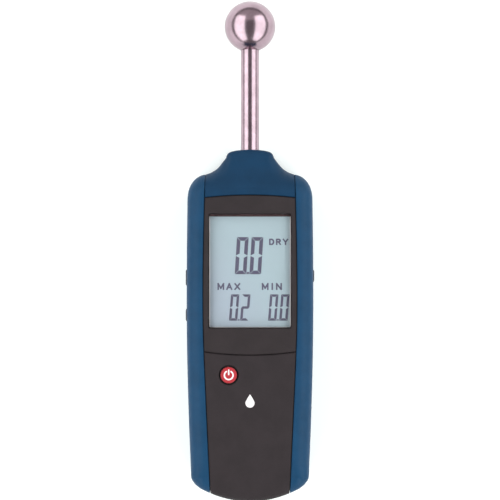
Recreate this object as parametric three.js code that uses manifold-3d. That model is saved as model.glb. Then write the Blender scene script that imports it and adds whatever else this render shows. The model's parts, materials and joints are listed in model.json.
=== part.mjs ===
// Ball-head moisture meter, lying on its back.
//
// Millimetres. X is across the case, +Y runs to the sensor ball, +Z is the display side.
// The origin is the middle of the overall length and width, on the flat back at z = 0.
//
// The case is a thin inner shell in two halves. Blue grips wrap its two sides, a blue head
// caps its top end, and a dark centre strip stands flush with them on the front and the back.

import * as THREE from 'three';
import { mergeVertices } from 'three/addons/utils/BufferGeometryUtils.js';
import Module from 'manifold-3d';

const wasm = await Module();
wasm.setup();

// ---------------------------------------------------------------------------------------
// Driving dimensions
// ---------------------------------------------------------------------------------------

const gap = 0.3; // between two pieces that meet
const runGap = 0.3; // round a piece that slides

// Overall
const overallLength = 235;
const bodyDepth = 28;
const topEnd = overallLength / 2;
const bottomEnd = -overallLength / 2;
const middle = bodyDepth / 2; // height of the rod, the ball and the neck

// Case outline, half widths and heights along Y
const bodyHalf = 29.7; // widest half width
const bodyHalfTop = 29.3; // just under the shoulders
const bodyHalfBottom = 27.6; // just above the bottom corners
const widestY = -24;
const shoulderTop = 35.5; // where the shoulders meet the head
const shoulderRise = 12;
const bottomCorner = 6.5; // height of the two bottom corners
const tipHalf = 22.2; // half width of the rounded tip
const bottomSag = 5.6; // how far the rounded tip bulges below the corners
const neckTop = 47;
const neckHalf = 10.8;
const neckFootHalf = 13.6; // where the neck starts to flare
const neckFootY = 40.2;
const neckCorner = 2.6;
const neckDepthHalf = 10; // half the neck's thickness, front to back
const neckFlareY = 33; // where the neck's flare reaches full depth

// Case edges, front and back
const frontRound = 7;
const backRound = 5;
const endRound = 4;

// Seams
const seamTop = 20.9; // half width of the centre strip at the shoulders
const seamWide = 21.9;
const seamBottom = 18.6;
const headSeamY = 25.6; // arc between the head and the centre strip, at the middle
const headSeamDrop = 1.3; // how much lower that arc is at its sides
const panelSeamY = -48.9; // arc under the display panel, at the middle
const panelSeamRise = 1.6; // how much higher that arc is at its sides

// Walls
const gripWall = 2;
const caseWall = 1.8;
const panelThickness = 1.8;

// Display
const viewHalf = 19; // half width of what is seen of the LCD
const viewTop = 16.6;
const viewBottom = -36.1;
const lensMargin = 0.5; // lens beyond the view, all round
const lensThickness = 1;
const lcdMargin = 1.2; // glass beyond the view, at the sides
const lcdTopMargin = 0.8;
const lcdLedge = 2.4; // contact ledge below the view
const lcdThickness = 1.7;
const lcdLip = 1.3; // case material left in front of the glass

// Board
const boardThickness = 1.6;
const boardEdge = 2.1; // between the board's sides and the case walls
const boardTop = 26.5;
const boardBottom = -62.5;
const boardDepth = 8.6; // underside of the board, below the front face

// Power button
const powerX = -9.9;
const powerY = -58.2;
const powerRadius = 3.8;
const powerClearance = 0.8; // shadow gap round the button
const powerHoleRadius = powerRadius + powerClearance;
const powerFlange = 0.9; // flange beyond the hole
const powerWall = 1.6; // case material in front of the flange
const powerProud = 0.4;
const powerTravel = 0.6;

// Side keys: distance along Y, length along Y
const keyHeight = 3.6;
const keyProud = 0.5;
const keyFlange = 1;
const keyFlangeThickness = 1.2;
const keyTravel = 0.5;
const sideKeys = [
  { name: 'left_upper', side: -1, y: -13, length: 7.4 },
  { name: 'left_lower', side: -1, y: -30.6, length: 5.8 },
  { name: 'right', side: 1, y: -12.2, length: 5.6 },
];

// Push switches
const switchSize = 6;
const switchPlunger = 1.7;
const sideSwitchWidth = 4.4;
const sideSwitchDepth = 3.4;
const sideSwitchHeight = 3.5;
const sidePlunger = 0.9;

// Sensor
const ballRadius = 12;
const rodRadius = 4.3;
const studRadius = 3; // threaded end of the rod, inside the neck
const ballStudRadius = 2.5; // threaded end of the rod, inside the ball
const ballStudDepth = 6;
const rodShoulderY = 41;
const bushSleeveRadius = 4.9;
const bushFlangeLength = 3.4;
const socketFloorY = 33; // inner face of the neck, inside the case
const ringTube = 0.8; // O-ring thickness radius
const bushFlangeRadius = rodRadius + gap + 2 * ringTube; // shares its bore with the O-ring
const washerRadius = 7.4;
const washerThickness = 1.2;
const tagThickness = 0.6;
const nutRadius = 5.6;
const nutLength = 3.5;

// 9 V battery, a standard block
const cellWidth = 26.5;
const cellDepth = 17.5;
const cellLength = 46.4;
const terminalHeight = 1.8;
const terminalSpacing = 12.7;
const positiveRadius = 2.9;
const negativeRadius = 3.9;
const snapThickness = 4.4;
const snapHalf = 12.5;
const bayWall = 1.4;
const bayClearance = 0.85;
const foamThickness = 0.6;

// Battery door
const doorLedge = 1.4; // how far the door overlaps the bay's sides
const doorThickness = 2;
const doorLipHeight = 12; // height of the end that turns up round the tip
const doorLipWall = 5;
const tongueWidth = 1.1;
const tongueThickness = 0.8;
const tongueLevel = 0.9;

// Fasteners
const caseScrewSpots = [[-16, 20.6], [16, 20.6], [-17.5, -50], [17.5, -50]];
const boardScrewSpots = [[-9.5, 22], [9.5, 22], [-19.5, -43.5], [19.5, -43.5]];
const caseScrewRadius = 1.3;
const caseScrewHead = 2.6;
const caseScrewHeadHeight = 1.8;
const caseScrewRecess = 0.6;
const caseBossRadius = 2.9;
const boardScrewRadius = 0.9;
const boardScrewHead = 1.8;
const boardScrewHeadHeight = 1;
const boardBossRadius = 2;
const driveSlot = 0.7; // width of a screw's cross recess

// Leads
const leadRadius = 0.6;

// Finishes: colour, roughness, metalness
const finish = {
  blue: [0x24507c, 0.5, 0],
  blueHead: [0x1f4a75, 0.5, 0],
  charcoal: [0x3c3739, 0.6, 0],
  lens: [0xd8e2e6, 0.1, 0],
  lcd: [0xb6c5ce, 0.35, 0],
  steel: [0xb9aeb4, 0.28, 1],
  zinc: [0x9a9ca0, 0.4, 1],
  brass: [0xb58d4a, 0.35, 1],
  red: [0xd24650, 0.4, 0],
  key: [0x3a3338, 0.75, 0],
  rubber: [0x1d1d1f, 0.85, 0],
  board: [0x1d5a34, 0.45, 0],
  chip: [0x18181a, 0.5, 0],
  white: [0xe6e6e2, 0.5, 0],
  nylon: [0xded9cc, 0.55, 0],
  cell: [0x26282c, 0.35, 0.3],
  redLead: [0xb32024, 0.5, 0],
  blackLead: [0x17171a, 0.5, 0],
};

// ---------------------------------------------------------------------------------------
// Solids
// ---------------------------------------------------------------------------------------

/** Turns a closed three.js geometry into a solid that can be joined and cut. */
function toSolid(geometry) {
  const plain = geometry.index ? geometry.toNonIndexed() : geometry.clone();
  for (const name of Object.keys(plain.attributes)) {
    if (name !== 'position') plain.deleteAttribute(name);
  }
  const merged = mergeVertices(plain, 1e-4);
  return new wasm.Manifold(new wasm.Mesh({
    numProp: 3,
    vertProperties: new Float32Array(merged.attributes.position.array),
    triVerts: new Uint32Array(merged.index.array),
  }));
}

/** Turns a solid back into a three.js geometry. */
function toGeometry(solid) {
  const mesh = solid.getMesh();
  const geometry = new THREE.BufferGeometry();
  geometry.setAttribute('position', new THREE.BufferAttribute(mesh.vertProperties, 3));
  geometry.setIndex(new THREE.BufferAttribute(mesh.triVerts, 1));
  geometry.computeVertexNormals();
  return geometry;
}

/** A box from its lowest to its highest corner. */
function block(low, high) {
  const geometry = new THREE.BoxGeometry(high[0] - low[0], high[1] - low[1], high[2] - low[2]);
  geometry.translate((low[0] + high[0]) / 2, (low[1] + high[1]) / 2, (low[2] + high[2]) / 2);
  return toSolid(geometry);
}

/** A shape drawn in X and Y, standing between two heights. */
function prismZ(shape, low, high, segments = 6) {
  const options = { depth: high - low, bevelEnabled: false, curveSegments: segments };
  const geometry = new THREE.ExtrudeGeometry(shape, options);
  geometry.translate(0, 0, low);
  return toSolid(geometry);
}

/** A shape drawn in X and Z, running between two places along Y. */
function prismY(shape, low, high, segments = 6) {
  const options = { depth: high - low, bevelEnabled: false, curveSegments: segments };
  const geometry = new THREE.ExtrudeGeometry(shape, options);
  geometry.rotateX(Math.PI / 2);
  geometry.translate(0, high, 0);
  return toSolid(geometry);
}

/** A shape drawn in Y and Z, running between two places along X. */
function prismX(shape, low, high, segments = 6) {
  const options = { depth: high - low, bevelEnabled: false, curveSegments: segments };
  const geometry = new THREE.ExtrudeGeometry(shape, options);
  const turn = new THREE.Matrix4().makeBasis(
    new THREE.Vector3(0, 1, 0), new THREE.Vector3(0, 0, 1), new THREE.Vector3(1, 0, 0));
  geometry.applyMatrix4(turn);
  geometry.translate(low, 0, 0);
  return toSolid(geometry);
}

/** A profile of [radius, distance] points turned round an axis. */
function turned(profile, segments) {
  const points = profile.map(([radius, along]) => new THREE.Vector2(radius, along));
  return new THREE.LatheGeometry(points, segments);
}

/** A turned solid that stands on Z at x, y. Its profile runs anticlockwise. */
function turnedZ(profile, x, y, segments = 16) {
  const geometry = turned(profile, segments);
  geometry.rotateX(Math.PI / 2);
  geometry.translate(x, y, 0);
  return toSolid(geometry);
}

/** A turned solid on the rod's axis, its profile given along Y. */
function turnedY(profile, segments = 20) {
  const geometry = turned(profile, segments);
  geometry.translate(0, 0, middle);
  return toSolid(geometry);
}

/** A closed profile for a plain disc or post. */
function post(radius, low, high) {
  return [[0, low], [radius, low], [radius, high], [0, high]];
}

/** A closed profile for a ring with a hole. */
function ring(inner, outer, low, high) {
  return [[inner, low], [outer, low], [outer, high], [inner, high], [inner, low]];
}

/** A rectangle with rounded corners. */
function roundedRect(x0, x1, y0, y1, radius) {
  const shape = new THREE.Shape();
  shape.moveTo(x0 + radius, y0);
  shape.lineTo(x1 - radius, y0);
  shape.absarc(x1 - radius, y0 + radius, radius, -Math.PI / 2, 0);
  shape.lineTo(x1, y1 - radius);
  shape.absarc(x1 - radius, y1 - radius, radius, 0, Math.PI / 2);
  shape.lineTo(x0 + radius, y1);
  shape.absarc(x0 + radius, y1 - radius, radius, Math.PI / 2, Math.PI);
  shape.lineTo(x0, y0 + radius);
  shape.absarc(x0 + radius, y0 + radius, radius, Math.PI, 1.5 * Math.PI);
  return shape;
}

/** Joins a list of solids into one. */
function join(solids) {
  return solids.reduce((whole, solid) => whole.add(solid));
}

/** Cuts a list of solids out of one. */
function cut(whole, solids) {
  return solids.reduce((rest, solid) => rest.subtract(solid), whole);
}

// ---------------------------------------------------------------------------------------
// The body's form. Each outline can be drawn smaller by an inset, for shells and cavities.
// ---------------------------------------------------------------------------------------

/** Points of the right half of the body's outline, from the neck down to the tip. */
function rightEdge(inset) {
  const half = new THREE.Path();
  const top = neckTop - inset;
  const corner = Math.max(neckCorner - inset, 0.4);
  const shoulderX = seamTop - inset / 2;
  half.moveTo(0, top);
  half.lineTo(neckHalf - inset - corner, top);
  half.quadraticCurveTo(neckHalf - inset, top, neckHalf - inset + 0.4, top - corner - 0.6);
  half.lineTo(neckFootHalf - inset, neckFootY - inset * 0.4);
  half.quadraticCurveTo(neckFootHalf + 2.6 - inset, shoulderTop + 1.2 - inset,
    shoulderX, shoulderTop - inset);
  half.bezierCurveTo(shoulderX + 4.8, shoulderTop - 0.6 - inset, bodyHalfTop - inset,
    shoulderTop - 5 - inset, bodyHalfTop - inset, shoulderTop - shoulderRise);
  half.quadraticCurveTo(bodyHalf - inset, 0, bodyHalf - inset, widestY);
  half.quadraticCurveTo(bodyHalf - inset, -60, bodyHalfBottom - inset,
    bottomEnd + bottomSag + bottomCorner);
  // The corner ends on the tangent of the tip's curve, so the two run smoothly into each other.
  const cornerX = tipHalf - inset / 2;
  const cornerY = bottomEnd + bottomSag + inset;
  const cornerSlope = (2 * bottomSag) / cornerX;
  const sideX = bodyHalfBottom - inset - 0.2;
  half.quadraticCurveTo(sideX, cornerY + (sideX - cornerX) * cornerSlope, cornerX, cornerY);
  half.quadraticCurveTo(cornerX / 2, bottomEnd + inset, 0, bottomEnd + inset);
  return half.getPoints(5);
}

/** The body seen from the front. */
function frontOutline(inset) {
  const right = rightEdge(inset);
  const left = right.slice(1, -1).reverse().map((point) => new THREE.Vector2(-point.x, point.y));
  return new THREE.Shape([...right, ...left]);
}

/** The body's cross-section, in X and Z. */
function crossSection(inset) {
  const x = bodyHalf - inset;
  const low = inset;
  const high = bodyDepth - inset;
  const front = frontRound - inset / 2;
  const back = backRound - inset / 2;
  const shape = new THREE.Shape();
  shape.moveTo(-x + back, low);
  shape.lineTo(x - back, low);
  shape.absarc(x - back, low + back, back, -Math.PI / 2, 0);
  shape.lineTo(x, high - front);
  shape.absarc(x - front, high - front, front, 0, Math.PI / 2);
  shape.lineTo(-x + front, high);
  shape.absarc(-x + front, high - front, front, Math.PI / 2, Math.PI);
  shape.lineTo(-x, low + back);
  shape.absarc(-x + back, low + back, back, Math.PI, 1.5 * Math.PI);
  return shape;
}

/** The body seen from the side, in Y and Z. */
function sideOutline(inset) {
  const low = inset;
  const high = bodyDepth - inset;
  const end = bottomEnd + inset;
  const top = neckTop - inset;
  const neck = neckDepthHalf - inset;
  const round = endRound - inset / 2;
  const shape = new THREE.Shape();
  shape.moveTo(end + round, low);
  shape.lineTo(neckFlareY - inset * 0.4 - 3, low);
  shape.quadraticCurveTo(neckFlareY + 2, low, neckFootY, middle - neck);
  shape.lineTo(top, middle - neck);
  shape.lineTo(top, middle + neck);
  shape.lineTo(neckFootY, middle + neck);
  shape.quadraticCurveTo(neckFlareY + 2, high, neckFlareY - inset * 0.4 - 3, high);
  shape.lineTo(end + round, high);
  shape.absarc(end + round, high - round, round, Math.PI / 2, Math.PI);
  shape.lineTo(end, low + round);
  shape.absarc(end + round, low + round, round, Math.PI, 1.5 * Math.PI);
  return shape;
}

/** The whole body as one solid, smaller by an inset on every side. */
function body(inset) {
  const far = overallLength;
  return prismZ(frontOutline(inset), -1, bodyDepth + 1)
    .intersect(prismY(crossSection(inset), -far, far, 5))
    .intersect(prismX(sideOutline(inset), -far, far, 4));
}

/** The centre strip between the grips, wider by an offset on each side. */
function centreStrip(offset) {
  const edge = new THREE.SplineCurve([
    new THREE.Vector2(seamTop, shoulderTop),
    new THREE.Vector2(seamWide - 0.2, 0),
    new THREE.Vector2(seamWide, widestY),
    new THREE.Vector2(seamWide - 0.5, panelSeamY),
    new THREE.Vector2(seamBottom, bottomEnd + bottomSag),
  ]).getPoints(8);
  const right = edge.map((point) => new THREE.Vector2(point.x + offset, point.y));
  right.unshift(new THREE.Vector2(seamTop + offset, topEnd));
  right.push(new THREE.Vector2(seamBottom + offset, bottomEnd - 5));
  const left = right.map((point) => new THREE.Vector2(-point.x, point.y)).reverse();
  return prismZ(new THREE.Shape([...right, ...left]), -2, bodyDepth + 2);
}

/** Everything below an arc that crosses the body at the given height. */
function belowArc(centreY, rise) {
  const wide = bodyHalf + 5;
  const sideY = centreY + rise * (wide / seamWide) ** 2;
  const shape = new THREE.Shape();
  shape.moveTo(-wide, bottomEnd - 5);
  shape.lineTo(wide, bottomEnd - 5);
  shape.lineTo(wide, sideY);
  shape.quadraticCurveTo(0, 2 * centreY - sideY, -wide, sideY);
  return prismZ(shape, -2, bodyDepth + 2, 12);
}

const caseInset = gripWall + gap; // outside of the inner shell, under the grips and head
const cavityInset = caseInset + caseWall; // inside of the inner shell
const whole = body(0);
const underGrips = body(gripWall);
const innerShell = body(caseInset);
const cavity = body(cavityInset)
  .intersect(block([-bodyHalf, bottomEnd, 0], [bodyHalf, socketFloorY, bodyDepth]));
const stripIn = centreStrip(-gap / 2);
const stripOut = centreStrip(gap / 2);
const belowHead = belowArc(headSeamY - gap / 2, -headSeamDrop);
const belowHeadSeam = belowArc(headSeamY + gap / 2, -headSeamDrop);
const belowPanel = belowArc(panelSeamY - gap / 2, panelSeamRise);
const belowPanelSeam = belowArc(panelSeamY + gap / 2, panelSeamRise);

/** A slab of space between two heights, wider and longer than the body. */
function slab(low, high) {
  return block([-bodyHalf - 5, bottomEnd - 5, low], [bodyHalf + 5, topEnd, high]);
}

// ---------------------------------------------------------------------------------------
// Levels and places worked out from the driving dimensions
// ---------------------------------------------------------------------------------------

const parting = middle; // plane between the two case halves
const seatLevel = bodyDepth - panelThickness - gap; // case surface under the panel
const lcdFront = seatLevel - lcdLip - gap;
const lcdBack = lcdFront - lcdThickness;
const boardLevel = bodyDepth - boardDepth;
const boardHalf = bodyHalf - cavityInset - boardEdge;
const boardFront = boardLevel + boardThickness;
const frontInside = bodyDepth - cavityInset;
const backInside = cavityInset;

const cellLow = doorThickness + gap + foamThickness + gap;
const cellHigh = cellLow + cellDepth;
// How far the curved end of the cavity comes in at the battery's corners.
const cavityEnd = cavityInset
  + bottomSag * (cellWidth / 2 / (tipHalf - cavityInset / 2)) ** 2;
const cellBottom = bottomEnd + Math.max(doorLipWall, cavityEnd) + gap;
const cellTop = cellBottom + cellLength;
const bayHalf = cellWidth / 2 + bayClearance;
const doorHalf = bayHalf + doorLedge;
const bayBottom = cellBottom - gap;
const snapBottom = cellTop + gap;
const snapTop = snapBottom + snapThickness;
const bayTop = snapTop + gap;
const doorTopY = bayTop + bayWall;
const bayRoof = cellHigh + gap;
const leadHeight = middle - 2;
const leadXs = { red: powerX + 1, black: powerX + 5 };
const padY = Math.max(bayTop, boardBottom) + 7;

const flangeTop = bodyDepth - powerWall - gap;
const keyLevel = boardLevel - gap - sideSwitchHeight / 2;

// ---------------------------------------------------------------------------------------
// Pieces
// ---------------------------------------------------------------------------------------

const meter = new THREE.Group();

/** Adds one named piece in one finish. */
function addPiece(name, solid, look) {
  const [color, roughness, metalness] = finish[look];
  const material = new THREE.MeshStandardMaterial({ color, roughness, metalness });
  const mesh = new THREE.Mesh(toGeometry(solid), material);
  mesh.name = name;
  meter.add(mesh);
}

/** Half width of the body at a place along Y. */
function halfWidthAt(y) {
  const points = rightEdge(0);
  const next = points.findIndex((point, index) => index > 0 && point.y < y && point.x > neckHalf);
  const [a, b] = [points[next - 1], points[next]];
  return a.x + (b.x - a.x) * (y - a.y) / (b.y - a.y);
}

/** The opening that a side key needs through the grip and the case wall. */
function keyHole(key) {
  const radius = keyHeight / 2;
  const shape = roundedRect(key.y - key.length / 2 - runGap, key.y + key.length / 2 + runGap,
    keyLevel - radius - runGap, keyLevel + radius + runGap, radius);
  const inner = key.side > 0 ? 15 : -bodyHalf - 5;
  return prismX(shape, inner, inner + bodyHalf - 10, 4);
}

// --- Housing ---------------------------------------------------------------------------

function addGrips() {
  for (const [name, side] of [['left_grip', -1], ['right_grip', 1]]) {
    const outer = side * (bodyHalf + 5);
    const half = block([Math.min(0, outer), bottomEnd - 5, -1],
      [Math.max(0, outer), shoulderTop + 8, bodyDepth + 1]);
    const holes = sideKeys.filter((key) => key.side === side).map(keyHole);
    addPiece(name, cut(whole.intersect(half), [stripOut, underGrips, ...holes]), 'blue');
  }
}

function addHead() {
  const bore = turnedY(post(rodRadius + gap, rodShoulderY, neckTop + 1));
  const shell = cut(whole.intersect(stripIn), [belowHeadSeam, underGrips, bore]);
  addPiece('head_shell', shell, 'blueHead');
}

/** A screw boss on the front case, with its pilot hole. */
function boss(spot, radius, pilot, low) {
  const outer = turnedZ(post(radius, low, frontInside + 0.5), spot[0], spot[1], 16);
  const hole = turnedZ(post(pilot, low - 1, frontInside - 0.6), spot[0], spot[1], 12);
  return { outer, hole };
}

function addFrontCase() {
  const half = slab(parting + gap / 2, bodyDepth + 1);
  const strip = whole.intersect(stripIn).intersect(belowHead);
  const recess = cut(slab(seatLevel, bodyDepth + 2), [belowPanel]);
  const view = prismZ(roundedRect(-viewHalf, viewHalf, viewBottom, viewTop, 0.8),
    parting, bodyDepth + 1, 3);
  const lcdPocket = block(
    [-viewHalf - lcdMargin - gap, viewBottom - lcdLedge - gap, parting],
    [viewHalf + lcdMargin + gap, viewTop + lcdTopMargin + gap, lcdFront + gap]);
  const flangePocket = powerHoleRadius + powerFlange + gap;
  const powerHole = turnedZ([[0, parting], [flangePocket, parting],
    [flangePocket, flangeTop + gap], [powerHoleRadius, flangeTop + gap],
    [powerHoleRadius, bodyDepth + 1], [0, bodyDepth + 1]], powerX, powerY, 28);
  const caseBosses = caseScrewSpots.map((spot) =>
    boss(spot, caseBossRadius, caseScrewRadius + gap, parting + gap / 2));
  const boardBosses = boardScrewSpots.map((spot) =>
    boss(spot, boardBossRadius, boardScrewRadius + gap, boardFront + gap));
  const bosses = [...caseBosses, ...boardBosses];
  let shell = cut(strip.add(innerShell), [cavity, recess]);
  shell = shell.intersect(half);
  shell = join([shell, ...bosses.map((item) => item.outer)]);
  shell = cut(shell, [lcdPocket, view, powerHole, socketBore(), ...bosses.map((item) => item.hole),
    ...sideKeys.map(keyHole)]);
  addPiece('front_case', shell, 'charcoal');
}

/** The stepped bore in the neck that holds the bush and the O-ring. */
function socketBore() {
  const stepY = rodShoulderY - gap - bushFlangeLength - gap;
  return turnedY([[0, socketFloorY - 1], [bushSleeveRadius + gap, socketFloorY - 1],
    [bushSleeveRadius + gap, stepY], [bushFlangeRadius + gap, stepY],
    [bushFlangeRadius + gap, neckTop], [0, neckTop]]);
}

/** Walls and roof of the battery bay, joined to the rear case. */
function batteryBay() {
  const outer = bayHalf + bayWall;
  const roofTop = bayRoof + bayWall;
  const end = bayTop + bayWall;
  const roofEnd = Math.min(boardBottom - gap, end); // the roof stops short of the board
  const long = block([-outer, bottomEnd, backInside - 0.5], [outer, roofEnd, roofTop]);
  const short = block([-outer, roofEnd - 1, backInside - 0.5],
    [outer, end, boardLevel - gap]);
  const lower = slab(0, parting - gap / 2).intersect(body(cavityInset - 0.2));
  const upper = slab(parting - gap / 2 - 0.1, bodyDepth).intersect(body(cavityInset + gap));
  return long.add(short).intersect(lower.add(upper));
}

function addRearCase() {
  const half = slab(-1, parting - gap / 2);
  const strip = whole.intersect(stripIn).intersect(belowHead);
  const shell = cut(strip.add(innerShell), [cavity]).intersect(half);
  const posts = caseScrewSpots.map(([x, y]) =>
    turnedZ(post(caseBossRadius, backInside - 0.5, parting - gap / 2), x, y, 16));
  const headLevel = caseScrewRecess + caseScrewHeadHeight + gap;
  const screwHoles = caseScrewSpots.map(([x, y]) => turnedZ([
    [0, -1], [caseScrewHead + gap, -1], [caseScrewHead + gap, headLevel],
    [caseScrewRadius + gap, headLevel], [caseScrewRadius + gap, parting], [0, parting],
  ], x, y, 20));
  const bayInside = block([-bayHalf, bayBottom, doorThickness], [bayHalf, bayTop, bayRoof]);
  const doorSpace = block([-doorHalf - runGap, bottomEnd - 5, -1],
    [doorHalf + runGap, doorTopY + runGap, doorThickness + runGap]);
  const grooves = block([-doorHalf - tongueWidth - runGap, bottomEnd - 5, tongueLevel - runGap],
    [doorHalf + tongueWidth + runGap, doorTopY - 2 + runGap,
      tongueLevel + tongueThickness + runGap]);
  const lipSpace = block([-doorHalf - runGap, bottomEnd - 5, -1],
    [doorHalf + runGap, bayBottom + bayWall, doorLipHeight + runGap]);
  const leadHoles = Object.values(leadXs).map((x) =>
    prismY(roundedRect(x - leadRadius - gap, x + leadRadius + gap, leadHeight - leadRadius - gap,
      leadHeight + leadRadius + gap, leadRadius), bayTop - 1, bayTop + bayWall + 1, 3));
  let rear = join([shell, batteryBay(), ...posts]);
  rear = cut(rear, [bayInside, doorSpace, grooves, lipSpace, socketBore(),
    ...screwHoles, ...leadHoles, ...sideKeys.map(keyHole)]);
  addPiece('rear_case', rear, 'charcoal');
}

function addDisplay() {
  const opening = prismZ(roundedRect(
    -viewHalf - lensMargin - gap, viewHalf + lensMargin + gap,
    viewBottom - lensMargin - gap, viewTop + lensMargin + gap, 1), 0, bodyDepth + 1, 3);
  const panel = cut(whole.intersect(stripIn).intersect(belowHead)
    .intersect(slab(bodyDepth - panelThickness, bodyDepth + 1)), [belowPanelSeam, opening]);
  addPiece('display_panel', panel, 'charcoal');

  const lensLow = seatLevel + gap;
  addPiece('display_lens', prismZ(roundedRect(
    -viewHalf - lensMargin, viewHalf + lensMargin, viewBottom - lensMargin,
    viewTop + lensMargin, 0.8), lensLow, lensLow + lensThickness, 3), 'lens');

  const glassHalf = viewHalf + lcdMargin;
  const glassBottom = viewBottom - lcdLedge;
  const glassTop = viewTop + lcdTopMargin;
  addPiece('lcd_glass', block([-glassHalf, glassBottom, lcdBack],
    [glassHalf, glassTop, lcdFront]), 'lcd');

  const stackLow = boardFront + gap;
  const stackHigh = lcdBack - gap;
  const rim = 1.4;
  const stripWidth = 2;
  const frame = cut(block([-glassHalf, glassBottom, stackLow], [glassHalf, glassTop, stackHigh]),
    [block([-glassHalf + rim, glassBottom + rim, 0], [glassHalf - rim, glassTop - rim, bodyDepth])]);
  addPiece('lcd_holder', frame, 'white');
  const innerHalf = glassHalf - rim - gap;
  const lowStrip = glassBottom + rim + gap;
  const highStrip = glassTop - rim - gap;
  addPiece('lower_connector_strip', block([-innerHalf, lowStrip, stackLow],
    [innerHalf, lowStrip + stripWidth, stackHigh]), 'rubber');
  addPiece('upper_connector_strip', block([-innerHalf, highStrip - stripWidth, stackLow],
    [innerHalf, highStrip, stackHigh]), 'rubber');
  addPiece('lcd_backlight', block([-innerHalf, lowStrip + stripWidth + gap, stackLow],
    [innerHalf, highStrip - stripWidth - gap, stackHigh]), 'white');
}

function addBatteryDoor() {
  const plate = block([-doorHalf, bottomEnd - 5, 0], [doorHalf, doorTopY, doorThickness]);
  const tongues = block([-doorHalf - tongueWidth, cellBottom, tongueLevel],
    [doorHalf + tongueWidth, doorTopY - 2, tongueLevel + tongueThickness]);
  const lip = block([-doorHalf, bottomEnd - 5, 0],
    [doorHalf, bottomEnd + doorLipWall, doorLipHeight]);
  addPiece('battery_door', join([plate, tongues, lip]).intersect(whole), 'charcoal');
  const foamLow = doorThickness + gap;
  const cellMiddle = (cellBottom + cellTop) / 2;
  addPiece('door_foam', block([-9, cellMiddle - 12, foamLow],
    [9, cellMiddle + 12, foamLow + foamThickness - 0.05]), 'rubber');
}

/** A round-headed screw that points to +Z, with a cross recess in its head. */
function screw([x, y], headLow, headHeight, headRadius, shankRadius, tip) {
  const headTop = headLow + headHeight;
  const shape = turnedZ([[0, headLow], [headRadius * 0.8, headLow],
    [headRadius, headLow + headHeight * 0.4], [headRadius, headTop], [shankRadius, headTop],
    [shankRadius, tip], [0, tip]], x, y, 12);
  const arm = headRadius * 0.6;
  const slotHalf = driveSlot / 2;
  const depth = headLow + headHeight * 0.5;
  return cut(shape, [
    block([x - arm, y - slotHalf, headLow - 1], [x + arm, y + slotHalf, depth]),
    block([x - slotHalf, y - arm, headLow - 1], [x + slotHalf, y + arm, depth]),
  ]);
}

function addScrews() {
  caseScrewSpots.forEach((spot, index) => {
    addPiece(`case_screw_${index + 1}`, screw(spot, caseScrewRecess, caseScrewHeadHeight,
      caseScrewHead, caseScrewRadius, boardFront), 'zinc');
  });
  boardScrewSpots.forEach((spot, index) => {
    addPiece(`board_screw_${index + 1}`, screw(spot, boardLevel - gap - boardScrewHeadHeight,
      boardScrewHeadHeight, boardScrewHead, boardScrewRadius, frontInside - 1), 'zinc');
  });
}

// --- Sensor ----------------------------------------------------------------------------

function addSensor() {
  const ballY = topEnd - ballRadius;
  const meetY = ballY - Math.sqrt(ballRadius ** 2 - rodRadius ** 2);
  const seatY = meetY + 0.9; // the rod stands a little way into the ball
  const studTop = seatY + ballStudDepth;
  const sphere = new THREE.SphereGeometry(ballRadius, 32, 18);
  sphere.translate(0, ballY, middle);
  const socket = turnedY([[0, meetY - 3], [rodRadius + gap, meetY - 3],
    [rodRadius + gap, seatY + gap], [ballStudRadius + gap, seatY + gap],
    [ballStudRadius + gap, studTop + gap], [0, studTop + gap]]);
  addPiece('sensor_ball', toSolid(sphere).subtract(socket), 'steel');

  const stepY = rodShoulderY - gap - bushFlangeLength;
  const washerTop = socketFloorY - gap;
  const washerLow = washerTop - washerThickness;
  const tagTop = washerLow - gap;
  const tagLow = tagTop - tagThickness;
  const nutTop = tagLow - gap;
  const studEnd = nutTop - nutLength - 2;
  const hole = studRadius + gap;
  addPiece('sensor_rod', turnedY([[0, studEnd], [studRadius, studEnd],
    [studRadius, rodShoulderY], [rodRadius, rodShoulderY], [rodRadius, seatY],
    [ballStudRadius, seatY], [ballStudRadius, studTop], [0, studTop]]), 'steel');
  addPiece('rod_bush', turnedY([[hole, socketFloorY], [bushSleeveRadius, socketFloorY],
    [bushSleeveRadius, stepY], [bushFlangeRadius, stepY],
    [bushFlangeRadius, rodShoulderY - gap], [hole, rodShoulderY - gap],
    [hole, socketFloorY]]), 'nylon');
  addPiece('rod_washer', turnedY(ring(hole, washerRadius, washerLow, washerTop)), 'zinc');

  const tagTip = 12;
  const tagWidth = 2;
  const tab = block([studRadius + 1.5, tagLow, middle - tagWidth],
    [tagTip, tagTop, middle + tagWidth]);
  addPiece('sensor_tag', turnedY(ring(hole, nutRadius, tagLow, tagTop)).add(tab), 'brass');

  const clear = turnedY(post(hole, nutTop - nutLength - 1, nutTop + 1));
  const hexagon = turned(post(nutRadius, nutTop - nutLength, nutTop), 6);
  hexagon.translate(0, 0, middle);
  addPiece('rod_nut', toSolid(hexagon).subtract(clear), 'zinc');

  const ringY = (rodShoulderY + neckTop - gripWall) / 2;
  const ringGeometry = new THREE.TorusGeometry(rodRadius + gap + ringTube, ringTube, 6, 24);
  ringGeometry.rotateX(Math.PI / 2);
  ringGeometry.translate(0, ringY, middle);
  addPiece('rod_o_ring', toSolid(ringGeometry), 'rubber');

  addLead('sensor_wire', [
    [tagTip - 1.5, tagLow - gap - leadRadius, middle],
    [tagTip - 1.5, tagLow - 4, middle + 0.2],
    [tagTip - 1, 21.5, middle + 0.8],
    [tagTip - 0.6, 17, middle + 2.2],
    [tagTip - 0.6, 13.6, boardLevel - 2.4],
    [tagTip - 0.6, 12.6, boardLevel - gap],
  ], 'redLead');
}

// --- Leads -----------------------------------------------------------------------------

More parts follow.
